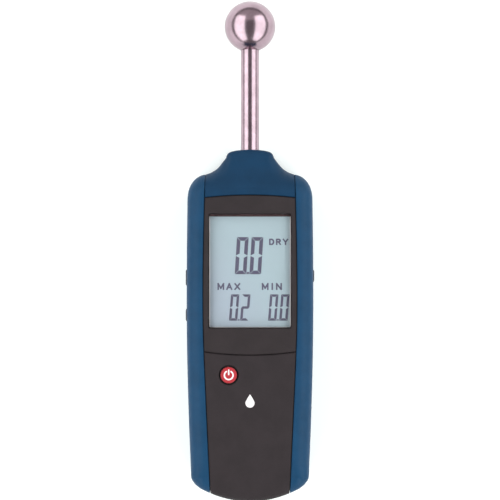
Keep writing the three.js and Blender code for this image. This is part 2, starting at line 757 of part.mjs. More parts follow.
/** A wire of round section along a smooth route. */
function addLead(name, route, look) {
  const curve = new THREE.CatmullRomCurve3(route.map((point) => new THREE.Vector3(...point)));
  const section = new THREE.Shape();
  section.absarc(0, 0, leadRadius, 0, 2 * Math.PI);
  const geometry = new THREE.ExtrudeGeometry(section, {
    extrudePath: curve, steps: 12, curveSegments: 4, bevelEnabled: false,
  });
  addPiece(name, toSolid(geometry), look);
}

// --- Controls --------------------------------------------------------------------------

function addPowerButton() {
  const flangeRadius = powerHoleRadius + powerFlange;
  const flangeLow = flangeTop - 0.8;
  const top = bodyDepth + powerProud;
  addPiece('power_button', turnedZ([[0, flangeLow], [flangeRadius, flangeLow],
    [flangeRadius, flangeTop], [powerRadius, flangeTop], [powerRadius, top - 0.5],
    [powerRadius - 0.6, top], [0, top]], powerX, powerY, 32), 'red');

  const switchLow = boardFront + gap;
  const half = switchSize / 2;
  const plungerTop = flangeLow - gap;
  const wellFloor = switchLow + 0.25;
  const plungerLow = wellFloor + powerTravel + 0.1;
  const well = turnedZ(post(switchPlunger + runGap, wellFloor, bodyDepth), powerX, powerY, 16);
  addPiece('power_switch', cut(block([powerX - half, powerY - half, switchLow],
    [powerX + half, powerY + half, plungerTop - powerTravel]), [well]), 'chip');
  addPiece('power_switch_plunger', turnedZ(post(switchPlunger, plungerLow, plungerTop),
    powerX, powerY, 16), 'white');
}

/** A box from x distances measured outwards on one side of the meter. */
function sideBlock(side, inner, outer, lowY, highY, lowZ, highZ) {
  const [a, b] = side > 0 ? [inner, outer] : [-outer, -inner];
  return block([a, lowY, lowZ], [b, highY, highZ]);
}

/** How far a side key's flange reaches along Y, and where it starts and ends across the case. */
function flangeOf(key) {
  const reach = key.length / 2 + keyFlange;
  const narrowest = Math.min(halfWidthAt(key.y - reach), halfWidthAt(key.y + reach));
  const outer = narrowest - cavityInset - gap;
  return { reach, outer, inner: outer - keyFlangeThickness };
}

function addSideKeys() {
  for (const key of sideKeys) {
    const { reach, outer: flangeOuter, inner: flangeInner } = flangeOf(key);
    const tip = bodyHalf + keyProud;
    const radius = keyHeight / 2;
    const cap = roundedRect(key.y - key.length / 2, key.y + key.length / 2,
      keyLevel - radius, keyLevel + radius, radius - 0.2);
    const capLow = key.side > 0 ? flangeOuter - 0.2 : -tip;
    const boss = prismX(cap, capLow, capLow + tip - flangeOuter + 0.2, 4);
    const flange = sideBlock(key.side, flangeInner, flangeOuter,
      key.y - reach, key.y + reach,
      keyLevel - radius - keyFlange, keyLevel + radius + keyFlange - 0.7);
    addPiece(`${key.name}_key`, boss.add(flange), 'key');

    const plungerOuter = flangeInner - gap;
    const switchOuter = plungerOuter - keyTravel - gap;
    const switchInner = switchOuter - sideSwitchDepth;
    const plungerInner = switchOuter - 1.2;
    const well = sideCylinder(key, plungerInner - keyTravel - 0.1, switchOuter + 1,
      sidePlunger + runGap);
    const housing = sideBlock(key.side, switchInner, switchOuter, key.y - sideSwitchWidth / 2,
      key.y + sideSwitchWidth / 2, boardLevel - gap - sideSwitchHeight, boardLevel - gap);
    addPiece(`${key.name}_switch`, housing.subtract(well), 'chip');
    addPiece(`${key.name}_plunger`, sideCylinder(key, plungerInner, plungerOuter, sidePlunger),
      'white');
  }
}

/** A round pin along X at a key's place. */
function sideCylinder(key, inner, outer, radius) {
  const circle = new THREE.Shape();
  circle.absarc(key.y, keyLevel, radius, 0, 2 * Math.PI);
  const low = key.side > 0 ? inner : -outer;
  return prismX(circle, low, low + outer - inner, 12);
}

// --- Electronics -----------------------------------------------------------------------

function addBoard() {
  const outline = body(cavityInset + 0.5).intersect(
    block([-boardHalf, boardBottom, boardLevel], [boardHalf, boardTop, boardFront]));
  const holes = [
    ...caseScrewSpots.map(([x, y]) => turnedZ(post(caseBossRadius + gap, 0, bodyDepth), x, y, 16)),
    ...boardScrewSpots.map(([x, y]) =>
      turnedZ(post(boardScrewRadius + gap, 0, bodyDepth), x, y, 12)),
  ];
  const notches = sideKeys.map((key) => {
    const { reach, inner } = flangeOf(key);
    return sideBlock(key.side, inner - keyTravel - gap, bodyHalf, key.y - reach - gap,
      key.y + reach + gap, 0, bodyDepth);
  });
  addPiece('main_board', cut(outline, [...holes, ...notches]), 'board');

  const under = boardLevel - gap;
  addPiece('processor_chip', block([-6, -24, under - 1.6], [6, -12, under]), 'chip');
  addPiece('oscillator_shield', block([-9, -4, under - 3.6], [7, 12, under]), 'zinc');
  addPiece('crystal', prismZ(roundedRect(10, 14, -24, -13, 1.9), under - 3.4, under, 4), 'zinc');
  addPiece('tuning_coil', turnedZ(ring(1.6, 4, under - 5, under), -15, 8, 20), 'brass');
  addPiece('capacitor', turnedZ(post(3, under - 6, under), 12, -33, 20), 'chip');
  addPiece('buzzer', turnedZ(post(5, under - 5.5, under), 6, -49, 24), 'chip');
}

// --- Power -----------------------------------------------------------------------------

/** A round pin along Y at a height and distance from the middle. */
function pinY(x, z, radius, low, high, segments) {
  const circle = new THREE.Shape();
  circle.absarc(x, z, radius, 0, 2 * Math.PI);
  return prismY(circle, low, high, segments);
}

function addBattery() {
  const half = cellWidth / 2;
  const cellMiddle = (cellLow + cellHigh) / 2;
  addPiece('battery', prismY(roundedRect(-half, half, cellLow, cellHigh, 2), cellBottom, cellTop, 4),
    'cell');
  const terminalLow = cellTop + gap;
  const terminalTop = terminalLow + terminalHeight;
  const places = [
    ['battery_positive_terminal', -terminalSpacing / 2, positiveRadius, 16],
    ['battery_negative_terminal', terminalSpacing / 2, negativeRadius, 6],
  ];
  const wells = [];
  for (const [name, x, radius, sides] of places) {
    addPiece(name, pinY(x, cellMiddle, radius, terminalLow, terminalTop, sides), 'zinc');
    wells.push(pinY(x, cellMiddle, radius + gap, cellTop, terminalTop + gap, sides));
  }
  const snapLow = cellLow + 0.8;
  const snapHigh = Math.min(boardLevel - 2 * gap, cellHigh - 0.8);
  addPiece('battery_snap', cut(prismY(roundedRect(-snapHalf, snapHalf, snapLow, snapHigh, 1.5),
    snapBottom, snapTop, 4), wells), 'rubber');
  for (const [colour, x] of Object.entries(leadXs)) {
    addLead(`${colour}_battery_lead`, [
      [x, snapTop + gap, leadHeight],
      [x, bayTop + bayWall + 1, leadHeight],
      [x, padY - 1.5, leadHeight + 1.4],
      [x, padY, leadHeight + 4],
      [x, padY, boardLevel - gap],
    ], `${colour}Lead`);
  }
}

addGrips();
addHead();
addFrontCase();
addRearCase();
addDisplay();
addBatteryDoor();
addScrews();
addSensor();
addPowerButton();
addSideKeys();
addBoard();
addBattery();

export default meter;
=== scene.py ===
"""Looks of a ball-head moisture meter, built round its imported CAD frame.

The frame is in metres. The meter lies on its back, +Z is the display side and +Y runs to the
sensor ball. The classes below hold their sizes in millimetres and turn them into metres as
they lay their points.
"""

from __future__ import annotations

import json
import logging
import math
from contextlib import contextmanager
from dataclasses import dataclass, field
from enum import Enum
from typing import Any, Iterator, Sequence

import bpy
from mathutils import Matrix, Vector


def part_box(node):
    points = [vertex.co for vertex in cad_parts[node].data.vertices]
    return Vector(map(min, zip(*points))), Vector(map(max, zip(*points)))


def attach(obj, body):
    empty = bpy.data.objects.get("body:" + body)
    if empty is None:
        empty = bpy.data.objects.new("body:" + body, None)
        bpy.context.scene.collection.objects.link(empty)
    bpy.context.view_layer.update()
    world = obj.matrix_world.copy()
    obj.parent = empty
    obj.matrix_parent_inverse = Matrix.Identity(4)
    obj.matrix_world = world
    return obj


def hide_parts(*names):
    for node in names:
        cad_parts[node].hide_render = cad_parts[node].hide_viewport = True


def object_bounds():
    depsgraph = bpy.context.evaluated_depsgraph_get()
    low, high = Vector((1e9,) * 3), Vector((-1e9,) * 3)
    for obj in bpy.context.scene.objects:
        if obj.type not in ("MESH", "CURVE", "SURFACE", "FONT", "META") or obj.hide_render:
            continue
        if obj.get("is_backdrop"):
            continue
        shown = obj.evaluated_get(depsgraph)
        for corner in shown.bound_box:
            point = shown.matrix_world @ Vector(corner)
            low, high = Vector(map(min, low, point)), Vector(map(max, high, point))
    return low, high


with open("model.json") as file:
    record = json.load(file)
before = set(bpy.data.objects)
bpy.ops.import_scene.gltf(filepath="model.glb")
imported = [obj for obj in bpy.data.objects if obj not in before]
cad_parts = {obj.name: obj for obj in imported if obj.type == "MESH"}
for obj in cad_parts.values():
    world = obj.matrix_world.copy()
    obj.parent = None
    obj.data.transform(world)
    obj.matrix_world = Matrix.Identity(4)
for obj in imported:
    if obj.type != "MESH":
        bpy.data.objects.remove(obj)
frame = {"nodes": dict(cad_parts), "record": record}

log = logging.getLogger("meter")

MM = 0.001
# In millimetres: the gap between pieces, a print's thickness and its gap from the face below it,
# how far a cutting tool stands out of the case, and how close doubled vertices and slivers are.
GAP = 0.3
PRINT = 0.04
PRINT_GAP = 0.01
CLEAR = 5.0
MERGE = 0.0005
SLIVER = 0.0001

Point = tuple[float, ...]
Outline = list[Point]
Colour = tuple[float, float, float]


class Cut(Enum):
    """What a second solid does to the first."""

    AWAY = "DIFFERENCE"
    COMMON = "INTERSECT"
    JOIN = "UNION"


class Axis(Enum):
    """The axis that an outline is extruded along, or a profile is turned about."""

    X = 0
    Y = 1
    Z = 2


class Side(Enum):
    """The left or the right side of the meter, seen from the front."""

    LEFT = -1
    RIGHT = 1


# ---------------------------------------------------------------------------------------
# Places and outlines, in millimetres
# ---------------------------------------------------------------------------------------


def span(node: str) -> tuple[Vector, Vector]:
    """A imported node's lowest and highest corner in millimetres."""
    low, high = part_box(node)
    return low / MM, high / MM


def bezier(points: Sequence[Point], steps: int) -> Outline:
    """Points along a Bezier curve of any degree, without its first point.

    Args:
        points: The curve's ends and the handles between them.
        steps: How many points to give.

    Returns:
        The points, the last of them being the curve's end.
    """
    curve = []
    for step in range(1, steps + 1):
        share = step / steps
        level = [Vector(point) for point in points]
        while len(level) > 1:
            level = [a.lerp(b, share) for a, b in zip(level, level[1:])]
        curve.append(tuple(level[0]))
    return curve


def spline(points: Sequence[Point], steps: int) -> Outline:
    """Points along a smooth line through all of the given points.

    Args:
        points: The points that the line passes through.
        steps: How many points to give for each span.

    Returns:
        The line's points, both ends included.
    """
    last = len(points) - 1
    line = [tuple(points[0])]
    for index in range(last):
        a, b, c, d = (Vector(points[min(max(index + k, 0), last)]) for k in (-1, 0, 1, 2))
        handles = [tuple(b), tuple(b + (c - a) / 6), tuple(c - (d - b) / 6), tuple(c)]
        line += bezier(handles, steps)
    return line


def arc(centre: Point, radius: float, start: float, end: float, steps: int) -> Outline:
    """Points along an arc, both ends included.

    Args:
        centre: The arc's centre.
        radius: Its radius.
        start: The angle it starts at, in degrees.
        end: The angle it ends at.
        steps: How many spans it has.

    Returns:
        The arc's points in order.
    """
    angles = [math.radians(start + (end - start) * k / steps) for k in range(steps + 1)]
    return [(centre[0] + radius * math.cos(a), centre[1] + radius * math.sin(a)) for a in angles]


def rounded(low: Point, high: Point, radius: float, steps: int = 6) -> Outline:
    """A rectangle with round corners, anticlockwise.

    Args:
        low: Its lowest corner.
        high: Its highest corner.
        radius: The radius of its corners.
        steps: The spans in each corner.

    Returns:
        The rectangle's points.
    """
    (x0, y0), (x1, y1) = low, high
    corners = [(x1, y0, -90), (x1, y1, 0), (x0, y1, 90), (x0, y0, 180)]
    points = []
    for x, y, start in corners:
        centre = (x + math.copysign(radius, x0 + x1 - 2 * x), y + math.copysign(radius, y0 + y1 - 2 * y))
        points += arc(centre, radius, start, start + 90, steps)
    return points


# ---------------------------------------------------------------------------------------
# Modelling with operators
# ---------------------------------------------------------------------------------------


def deselect() -> None:
    """Nothing is selected afterwards."""
    for thing in bpy.context.selected_objects:
        thing.select_set(False)


def take(thing: bpy.types.Object) -> None:
    """Only this object is selected, and it is the active one.

    Args:
        thing: The object to select.
    """
    deselect()
    thing.select_set(True)
    bpy.context.view_layer.objects.active = thing


@contextmanager
def editing(thing: bpy.types.Object, all_selected: bool = True) -> Iterator[None]:
    """Edit mode on one object, with all or none of its mesh selected.

    Args:
        thing: The object to edit.
        all_selected: Whether everything in it starts selected; its own selection stays if not.

    Returns:
        A context that leaves edit mode at its end.
    """
    take(thing)
    bpy.ops.object.mode_set(mode="EDIT")
    bpy.ops.mesh.select_mode(type="FACE" if not all_selected else "VERT")
    if all_selected:
        bpy.ops.mesh.select_all(action="SELECT")
    yield
    bpy.ops.object.mode_set(mode="OBJECT")


def added(name: str, points: Sequence[Point]) -> bpy.types.Object:
    """Names the primitive that was just added and lays its vertices on points.

    Args:
        name: The object's name.
        points: A place in millimetres for each vertex, in the primitive's own order.

    Returns:
        The object.
    """
    thing = bpy.context.object
    thing.name = name
    flat = [value * MM for point in points for value in point]
    thing.data.vertices.foreach_set("co", flat)
    thing.data.update()
    return thing


def close_up(thing: bpy.types.Object, holes: bool = False) -> bpy.types.Object:
    """Merges doubled vertices, closes open ends if asked and turns the faces outwards.

    Args:
        thing: The object to mend.
        holes: Whether open ends get a face.

    Returns:
        The same object.
    """
    with editing(thing):
        bpy.ops.mesh.remove_doubles(threshold=MERGE * MM)
        bpy.ops.mesh.dissolve_degenerate(threshold=SLIVER * MM)
        if holes:
            bpy.ops.mesh.select_all(action="DESELECT")
            bpy.ops.mesh.select_non_manifold()
            bpy.ops.mesh.fill_holes(sides=0)
            bpy.ops.mesh.select_all(action="SELECT")
        bpy.ops.mesh.normals_make_consistent(inside=False)
    return thing


def laid_grid(name: str, rows: Sequence[Sequence[Point]]) -> bpy.types.Object:
    """A grid laid over rows of points.

    Args:
        name: The object's name.
        rows: Rows of equally many points.

    Returns:
        The grid.
    """
    deselect()
    bpy.ops.mesh.primitive_grid_add(x_subdivisions=len(rows[0]) - 1, y_subdivisions=len(rows) - 1)
    return added(name, [point for row in rows for point in row])


def loft(name: str, rings: Sequence[Sequence[Point]]) -> bpy.types.Object:
    """A closed solid through rings of equally many points."""
    return close_up(laid_grid(name, [[*ring, ring[0]] for ring in rings]), holes=True)


def prism(name: str, outline: Outline, low: float, high: float, axis: Axis = Axis.Z) -> bpy.types.Object:
    """An outline extruded between two places along an axis.

    Args:
        name: The object's name.
        outline: The outline on the other two axes, in the order X, Y, Z.
        low: Where the solid starts.
        high: Where it ends.
        axis: The axis it runs along.

    Returns:
        The solid.
    """
    deselect()
    bpy.ops.mesh.primitive_circle_add(vertices=len(outline), fill_type="NGON")
    points = [(*point[:axis.value], low, *point[axis.value:]) for point in outline]
    thing = added(name, points)
    reach = [0.0, 0.0, 0.0]
    reach[axis.value] = (high - low) * MM
    with editing(thing):
        bpy.ops.mesh.extrude_region_move(TRANSFORM_OT_translate={"value": reach})
    return close_up(thing)


def block(name: str, low: Point, high: Point) -> bpy.types.Object:
    """A box from its lowest to its highest corner."""
    outline = [(low[0], low[1]), (high[0], low[1]), (high[0], high[1]), (low[0], high[1])]
    return prism(name, outline, low[2], high[2])


def turned(name: str, profile: Outline, centre: Point, axis: Axis, steps: int = 48) -> bpy.types.Object:
    """A closed profile turned about an axis.

    Args:
        name: The object's name.
        profile: Points as (radius, distance along the axis).
        centre: A point on the axis.
        axis: The axis, Y or Z.
        steps: How many steps a whole turn has.

    Returns:
        The solid.
    """
    deselect()
    bpy.ops.mesh.primitive_circle_add(vertices=len(profile), fill_type="NOTHING")
    x, y, z = centre
    if axis is Axis.Y:
        points = [(x + radius, along, z) for radius, along in profile]
    else:
        points = [(x + radius, y, along) for radius, along in profile]
    thing = added(name, points)
    direction = [0.0, 0.0, 0.0]
    direction[axis.value] = 1.0
    with editing(thing):
        bpy.ops.mesh.spin(steps=steps, angle=math.tau, center=Vector(centre) * MM, axis=direction)
    return close_up(thing)


def pin(name: str, radius: float, ends: Point, centre: Point, axis: Axis = Axis.Z,
        steps: int = 24) -> bpy.types.Object:
    """A plain cylinder between two places along an axis.

    Args:
        name: The object's name.
        radius: Its radius.
        ends: Where it starts and ends.
        centre: A point on the axis.
        axis: The axis, Y or Z.
        steps: How many sides it has.

    Returns:
        The solid.
    """
    profile = [(0.0, ends[0]), (radius, ends[0]), (radius, ends[1]), (0.0, ends[1])]
    return turned(name, profile, centre, axis, steps)


def remove(thing: bpy.types.Object) -> None:
    """Deletes an object that was only a tool.

    Args:
        thing: The object to delete.
    """
    mesh = thing.data
    bpy.data.objects.remove(thing)
    bpy.data.meshes.remove(mesh)


def apply_modifier(thing: bpy.types.Object, kind: str, settings: dict[str, Any]) -> None:
    """Adds a modifier, sets it and applies it.

    Args:
        thing: The object.
        kind: The modifier's type.
        settings: Its settings by name.
    """
    modifier = thing.modifiers.new(kind.lower(), kind)
    for key, value in settings.items():
        setattr(modifier, key, value)
    take(thing)
    bpy.ops.object.modifier_apply(modifier=modifier.name)


def combine(thing: bpy.types.Object, how: Cut, *tools: bpy.types.Object,
            keep: bool = False) -> bpy.types.Object:
    """Cuts with, keeps the common part with, or joins other solids, one after another.

    Args:
        thing: The solid that changes.
        how: What each of the others does to it.
        tools: The other solids.
        keep: Whether the others stay for further use.

    Returns:
        The changed solid.
    """
    for tool in tools:
        settings = {"operation": how.value, "object": tool, "solver": "MANIFOLD"}
        apply_modifier(thing, "BOOLEAN", settings)
        if not keep:
            remove(tool)
    return thing


def copied(thing: bpy.types.Object, name: str) -> bpy.types.Object:
    """A copy of an object with a mesh of its own.

    Args:
        thing: The object to copy.
        name: The copy's name.

    Returns:
        The copy.
    """
    copy = thing.copy()
    copy.data = thing.data.copy()
    copy.name = name
    bpy.context.scene.collection.objects.link(copy)
    return copy


def soften(thing: bpy.types.Object, width: float, segments: int = 2, angle: float = 40) -> bpy.types.Object:
    """Rounds an object's sharp edges.

    Args:
        thing: The object.
        width: The width of the rounding in millimetres.
        segments: How many faces go round each edge.
        angle: Edges that turn by more than this many degrees are rounded.

    Returns:
        The same object.
    """
    settings = {"width": width * MM, "segments": segments, "limit_method": "ANGLE",
                "angle_limit": math.radians(angle), "use_clamp_overlap": True}
    apply_modifier(thing, "BEVEL", settings)
    return thing


def shade(thing: bpy.types.Object, angle: float = 32) -> None:
    """Smooth shading that leaves edges sharper than the angle and flat faces flat.

    Args:
        thing: The object.
        angle: The angle in degrees.
    """
    take(thing)
    bpy.ops.object.shade_smooth_by_angle(angle=math.radians(angle), keep_sharp_edges=False)
    apply_modifier(thing, "WEIGHTED_NORMAL", {"keep_sharp": True, "weight": 60})


def finish_piece(thing: bpy.types.Object, body: str, slot: str, *nodes: str, printed: str = "") -> None:
    """Dresses a piece in its slot's finish, and sets it on its body in place of CAD nodes.

    Args:
        thing: The piece.
        body: The CAD body that it rides on.
        slot: The record's material slot that it takes its finish from.
        nodes: The CAD nodes that it stands for.
        printed: The ink's finish, for a flat print on a piece of that slot.
    """
    if not printed:
        shade(thing)
    thing.data.materials.clear()
    thing.data.materials.append(FINISHES[printed or slot].material())
    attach(thing, body)
    if nodes:
        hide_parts(*nodes)
    faces = len(thing.data.polygons)
    log.info("%s rides on %s in %s, %d faces", thing.name, body, slot, faces)


# ---------------------------------------------------------------------------------------
# Shader helpers
# ---------------------------------------------------------------------------------------


class Tint:
    """A shader value that takes part in Python sums, each sum adding a Math node."""

    def __init__(self, tree: "ShaderTree", socket: Any) -> None:
        """Wraps one output socket of a tree."""
        self.tree = tree
        self.socket = socket

    def math(self, operation: str, left: Any, right: Any) -> "Tint":
        """One Math node on two values."""
        return self.tree.node("ShaderNodeMath", {"operation": operation}, {0: left, 1: right})

    def __add__(self, other: Any) -> "Tint":
        """This value plus another."""
        return self.math("ADD", self, other)

    def __sub__(self, other: Any) -> "Tint":
        """This value less another."""
        return self.math("SUBTRACT", self, other)

    def __rsub__(self, other: Any) -> "Tint":
        """Another value less this one."""
        return self.math("SUBTRACT", other, self)

    def __mul__(self, other: Any) -> "Tint":
        """This value times another."""
        return self.math("MULTIPLY", self, other)

    __radd__ = __add__
    __rmul__ = __mul__


class ShaderTree:
    """The node tree of one new material, with a Principled shader at its end."""

    def __init__(self, name: str) -> None:
        """Starts a material of that name.

        Args:
            name: The material's name.
        """
        self.material = bpy.data.materials.new(name)
        self.material.use_nodes = True
        self.nodes = self.material.node_tree.nodes
        self.links = self.material.node_tree.links
        self.shader = self.nodes["Principled BSDF"]

    def node(self, kind: str, settings: dict[str, Any], inputs: dict[Any, Any], output: Any = 0) -> Tint:
        """Adds a node.

        Args:
            kind: The node's type.
            settings: Its settings by name.
            inputs: Values or links by socket name or number.
            output: The output socket to give back.

        Returns:
            The output, ready for sums.
        """
        node = self.nodes.new(kind)
        for key, value in settings.items():
            setattr(node, key, value)
        for key, value in inputs.items():
            self.feed(node.inputs[key], value)
        return Tint(self, node.outputs[output])

    def feed(self, socket: Any, value: Any) -> None:
        """Links a wrapped socket to an input, or sets the input's own value.

        Args:
            socket: The input.
            value: A wrapped socket or a plain value.
        """
        if isinstance(value, Tint):
            self.links.new(value.socket, socket)
        else:
            socket.default_value = value

    def place(self, stretch: Point = (1, 1, 1)) -> Tint:
        """The place on the object in millimetres, stretched along each axis.

        Args:
            stretch: A factor for each axis.

        Returns:
            The place.
        """
        where = self.node("ShaderNodeTexCoord", {}, {}, "Object")
        scale = tuple(value / MM for value in stretch)
        return self.node("ShaderNodeVectorMath", {"operation": "MULTIPLY"}, {0: where, 1: scale})

    def noise(self, scale: float, detail: float = 2, stretch: Point = (1, 1, 1)) -> Tint:
        """Noise from 0 to 1 with that many lumps to a millimetre."""
        inputs = {"Vector": self.place(stretch), "Scale": scale, "Detail": detail, "Roughness": 0.55}
        return self.node("ShaderNodeTexNoise", {}, inputs)

    def remap(self, value: Tint, low: float, high: float, to_low: float = 0, to_high: float = 1) -> Tint:
        """A value moved smoothly from one range to another."""
        inputs = {"Value": value, "From Min": low, "From Max": high, "To Min": to_low, "To Max": to_high}
        return self.node("ShaderNodeMapRange", {"interpolation_type": "SMOOTHSTEP"}, inputs)

    def mix(self, factor: Any, low: Any, high: Any) -> Tint:
        """A colour between two colours."""
        inputs = {0: factor, 6: low, 7: high}
        return self.node("ShaderNodeMix", {"data_type": "RGBA"}, inputs, 2)

    def bump(self, height: Tint, depth: float) -> Tint:
        """A normal from a height of 0 to 1, its depth in millimetres."""
        inputs = {"Height": height, "Distance": depth * MM, "Strength": 1.0}
        return self.node("ShaderNodeBump", {}, inputs)

    def set(self, **inputs: Any) -> None:
        """Feeds the Principled shader's sockets, their names written with underscores."""
        for key, value in inputs.items():
            self.feed(self.shader.inputs[key.replace("_", " ")], value)


def opaque(colour: Colour, factor: float = 1.0) -> tuple[float, float, float, float]:
    """A colour with its alpha, lighter or darker by a factor."""
    red, green, blue = (min(value * factor, 1.0) for value in colour)
    return red, green, blue, 1.0


class Finish:
    """A finish that makes its material once and hands it out."""

    made: dict[str, bpy.types.Material] = {}
    name: str

    def material(self) -> bpy.types.Material:
        """The finish's material, made the first time it is asked for.

        Returns:
            The material.
        """
        if self.name not in Finish.made:
            tree = ShaderTree(self.name)
            self.dress(tree)
            Finish.made[self.name] = tree.material
        return Finish.made[self.name]

    def dress(self, tree: ShaderTree) -> None:
        """Builds the finish's nodes.

        Args:
            tree: The new material's node tree.
        """
        raise NotImplementedError


@dataclass(frozen=True)
class Moulded(Finish):
    """Moulded plastic or rubber with a fine spark-eroded grain and faint handling marks."""

    name: str
    colour: Colour
    roughness: float = 0.5
    grain: float = 0.012
    grain_size: float = 0.22
    mottle: float = 0.08
    specular: float = 0.5
    coat: float = 0.0

    def dress(self, tree: ShaderTree) -> None:
        """Builds mottled colour, uneven gloss and a grained surface.

        Args:
            tree: The new material's node tree.
        """
        clouds = tree.noise(0.11, 3)
        smudges = tree.noise(0.35, 4)
        grain = tree.noise(1 / self.grain_size, 2)
        pores = tree.noise(3.1 / self.grain_size, 1)
        shade_of = tree.remap(clouds, 0.25, 0.75)
        low = opaque(self.colour, 1 - self.mottle)
        high = opaque(self.colour, 1 + self.mottle)
        speck = tree.remap(grain, 0.3, 0.7, 0.94, 1.06)
        base = tree.mix(shade_of, low, high)
        grained = tree.node("ShaderNodeVectorMath", {"operation": "SCALE"}, {0: base, "Scale": speck})
        gloss = tree.remap(smudges, 0.35, 0.7, self.roughness - 0.05, self.roughness + 0.06)
        relief = tree.bump(grain * 0.7 + pores * 0.3, self.grain)
        tree.set(Base_Color=grained, Roughness=gloss, Normal=relief, Coat_Weight=self.coat,
                 Coat_Roughness=0.2, Specular_IOR_Level=self.specular)


@dataclass(frozen=True)
class TurnedMetal(Finish):
    """Metal turned and polished about the long axis, with fine rings and faint lengthwise wipes."""

    name: str
    colour: Colour
    roughness: float = 0.2
    rings: float = 14.0
    depth: float = 0.0006

    def dress(self, tree: ShaderTree) -> None:
        """Builds rings across the long axis, stains and an uneven polish.

        Args:
            tree: The new material's node tree.
        """
        rings = tree.noise(self.rings, 3, (0.02, 1, 0.02))
        wipes = tree.noise(2.2, 3, (1, 0.05, 1))
        stain = tree.noise(0.16, 3)
        low = opaque(self.colour, 0.88)
        high = opaque(self.colour, 1.08)
        base = tree.mix(tree.remap(stain, 0.3, 0.7), low, high)
        wear = rings * 0.6 + wipes * 0.4
        polish = tree.remap(wear, 0.35, 0.65, self.roughness - 0.03, self.roughness + 0.05)
        tree.set(Base_Color=base, Metallic=1.0, Roughness=polish, Normal=tree.bump(rings, self.depth))


@dataclass(frozen=True)
class PlatedMetal(Finish):
    """Plated or stamped metal with a crystalline bloom."""

    name: str
    colour: Colour
    roughness: float = 0.36

    def dress(self, tree: ShaderTree) -> None:
        """Builds bloomed patches and fine scratches.

        Args:
            tree: The new material's node tree.
        """
        bloom = tree.node("ShaderNodeTexVoronoi", {}, {"Vector": tree.place(), "Scale": 1.6}, "Distance")
        stain = tree.noise(0.9, 3)
        scratches = tree.noise(9.0, 2, (1, 0.08, 0.3))
        base = tree.mix(tree.remap(stain, 0.3, 0.7), opaque(self.colour, 0.8), opaque(self.colour, 1.15))
        wear = bloom * 0.6 + scratches * 0.4
        gloss = tree.remap(wear, 0.1, 0.7, self.roughness - 0.08, self.roughness + 0.1)
        tree.set(Base_Color=base, Metallic=1.0, Roughness=gloss, Normal=tree.bump(scratches, 0.002))


@dataclass(frozen=True)
class Wound(Finish):
    """Lacquered wire wound in rings about an upright axis."""

    name: str
    colour: Colour

    def dress(self, tree: ShaderTree) -> None:
        """Builds stacked turns of wire with dark gaps between them.

        Args:
            tree: The new material's node tree.
        """
        settings = {"wave_type": "BANDS", "bands_direction": "Z"}
        inputs = {"Vector": tree.place(), "Scale": 1.1, "Distortion": 0.4}
        turns = tree.node("ShaderNodeTexWave", settings, inputs)
        base = tree.mix(turns, opaque(self.colour, 0.25), opaque(self.colour, 1.1))
        tree.set(Base_Color=base, Metallic=0.9, Roughness=0.3, Normal=tree.bump(turns, 0.05))


@dataclass(frozen=True)
class ClearWindow(Finish):
    """Clear acrylic with a faint haze."""

    name: str
    colour: Colour

    def dress(self, tree: ShaderTree) -> None:
        """Builds a clear body with a slightly uneven gloss.

        Args:
            tree: The new material's node tree.
        """
        haze = tree.noise(0.25, 3)
        gloss = tree.remap(haze, 0.3, 0.7, 0.02, 0.05)
        tree.set(Base_Color=opaque(self.colour), Roughness=gloss, Transmission_Weight=1.0, IOR=1.2)


@dataclass(frozen=True)
class DisplayFace(Finish):
    """The pale reflective face of a liquid crystal display."""

    name: str
    colour: Colour
    # The colour of the painted shade in the face's lower left corner.
    painted_shade_colour: Colour
    low: Point
    high: Point

    def dress(self, tree: ShaderTree) -> None:
        """Builds a cool face with painted shade that turns it darker and lilac towards its lower left
        corner.

        Args:
            tree: The new material's node tree.
        """
        places = (tree.node("ShaderNodeSeparateXYZ", {}, {0: tree.place()}, axis) for axis in "XY")
        across, along = (tree.remap(*ends) for ends in zip(places, self.low, self.high))
        clouds = tree.noise(0.05, 2)
        weave = tree.noise(5.0, 1)
        # Painted shade: the mix runs from the face's colour to the darker lilac shade colour towards the
        # lower left corner.
        corner = (1 - across) * 0.5 + (1 - along) * 0.5 + (clouds - 0.5) * 0.2
        base = tree.mix(tree.remap(corner, 0.3, 1.0), opaque(self.colour), opaque(self.painted_shade_colour))
        gloss = tree.remap(weave, 0.3, 0.7, 0.32, 0.4)
        tree.set(Base_Color=base, Roughness=gloss, Normal=tree.bump(weave, 0.002))


@dataclass(frozen=True)
class BoardMask(Finish):
    """Green solder mask over copper tracks and pads."""

    name: str
    colour: Colour

    def dress(self, tree: ShaderTree) -> None:
        """Builds lighter tracks under the mask and tinned pads on a grid.

        Args:
            tree: The new material's node tree.
        """
        where = tree.place()
        settings = {"distance": "CHEBYCHEV", "feature": "F1"}
        cells = tree.node("ShaderNodeTexVoronoi", settings, {"Vector": where, "Scale": 0.3}, "Distance")
        edges = tree.node("ShaderNodeTexVoronoi", {"feature": "DISTANCE_TO_EDGE"},
                          {"Vector": where, "Scale": 0.22}, "Distance")
        tracks = tree.remap(edges, 0.02, 0.05, 1, 0)
        pads = tree.remap(cells, 0.06, 0.09, 1, 0)
        mask = tree.mix(tracks, opaque(self.colour), opaque(self.colour, 2.2))
        base = tree.mix(pads, mask, (0.62, 0.6, 0.55, 1))
        tree.set(Base_Color=base, Metallic=pads * 0.8, Roughness=0.32, Normal=tree.bump(tracks, 0.03))


@dataclass(frozen=True)
class Foam(Finish):
    """Closed-cell black foam."""

    name: str
    colour: Colour

    def dress(self, tree: ShaderTree) -> None:
        """Builds fine cells in a dull surface.

        Args:
            tree: The new material's node tree.
        """
        cells = tree.node("ShaderNodeTexVoronoi", {}, {"Vector": tree.place(), "Scale": 2.4}, "Distance")
        base = tree.mix(cells, opaque(self.colour, 0.4), opaque(self.colour, 1.8))
        tree.set(Base_Color=base, Roughness=0.95, Normal=tree.bump(cells, 0.12))


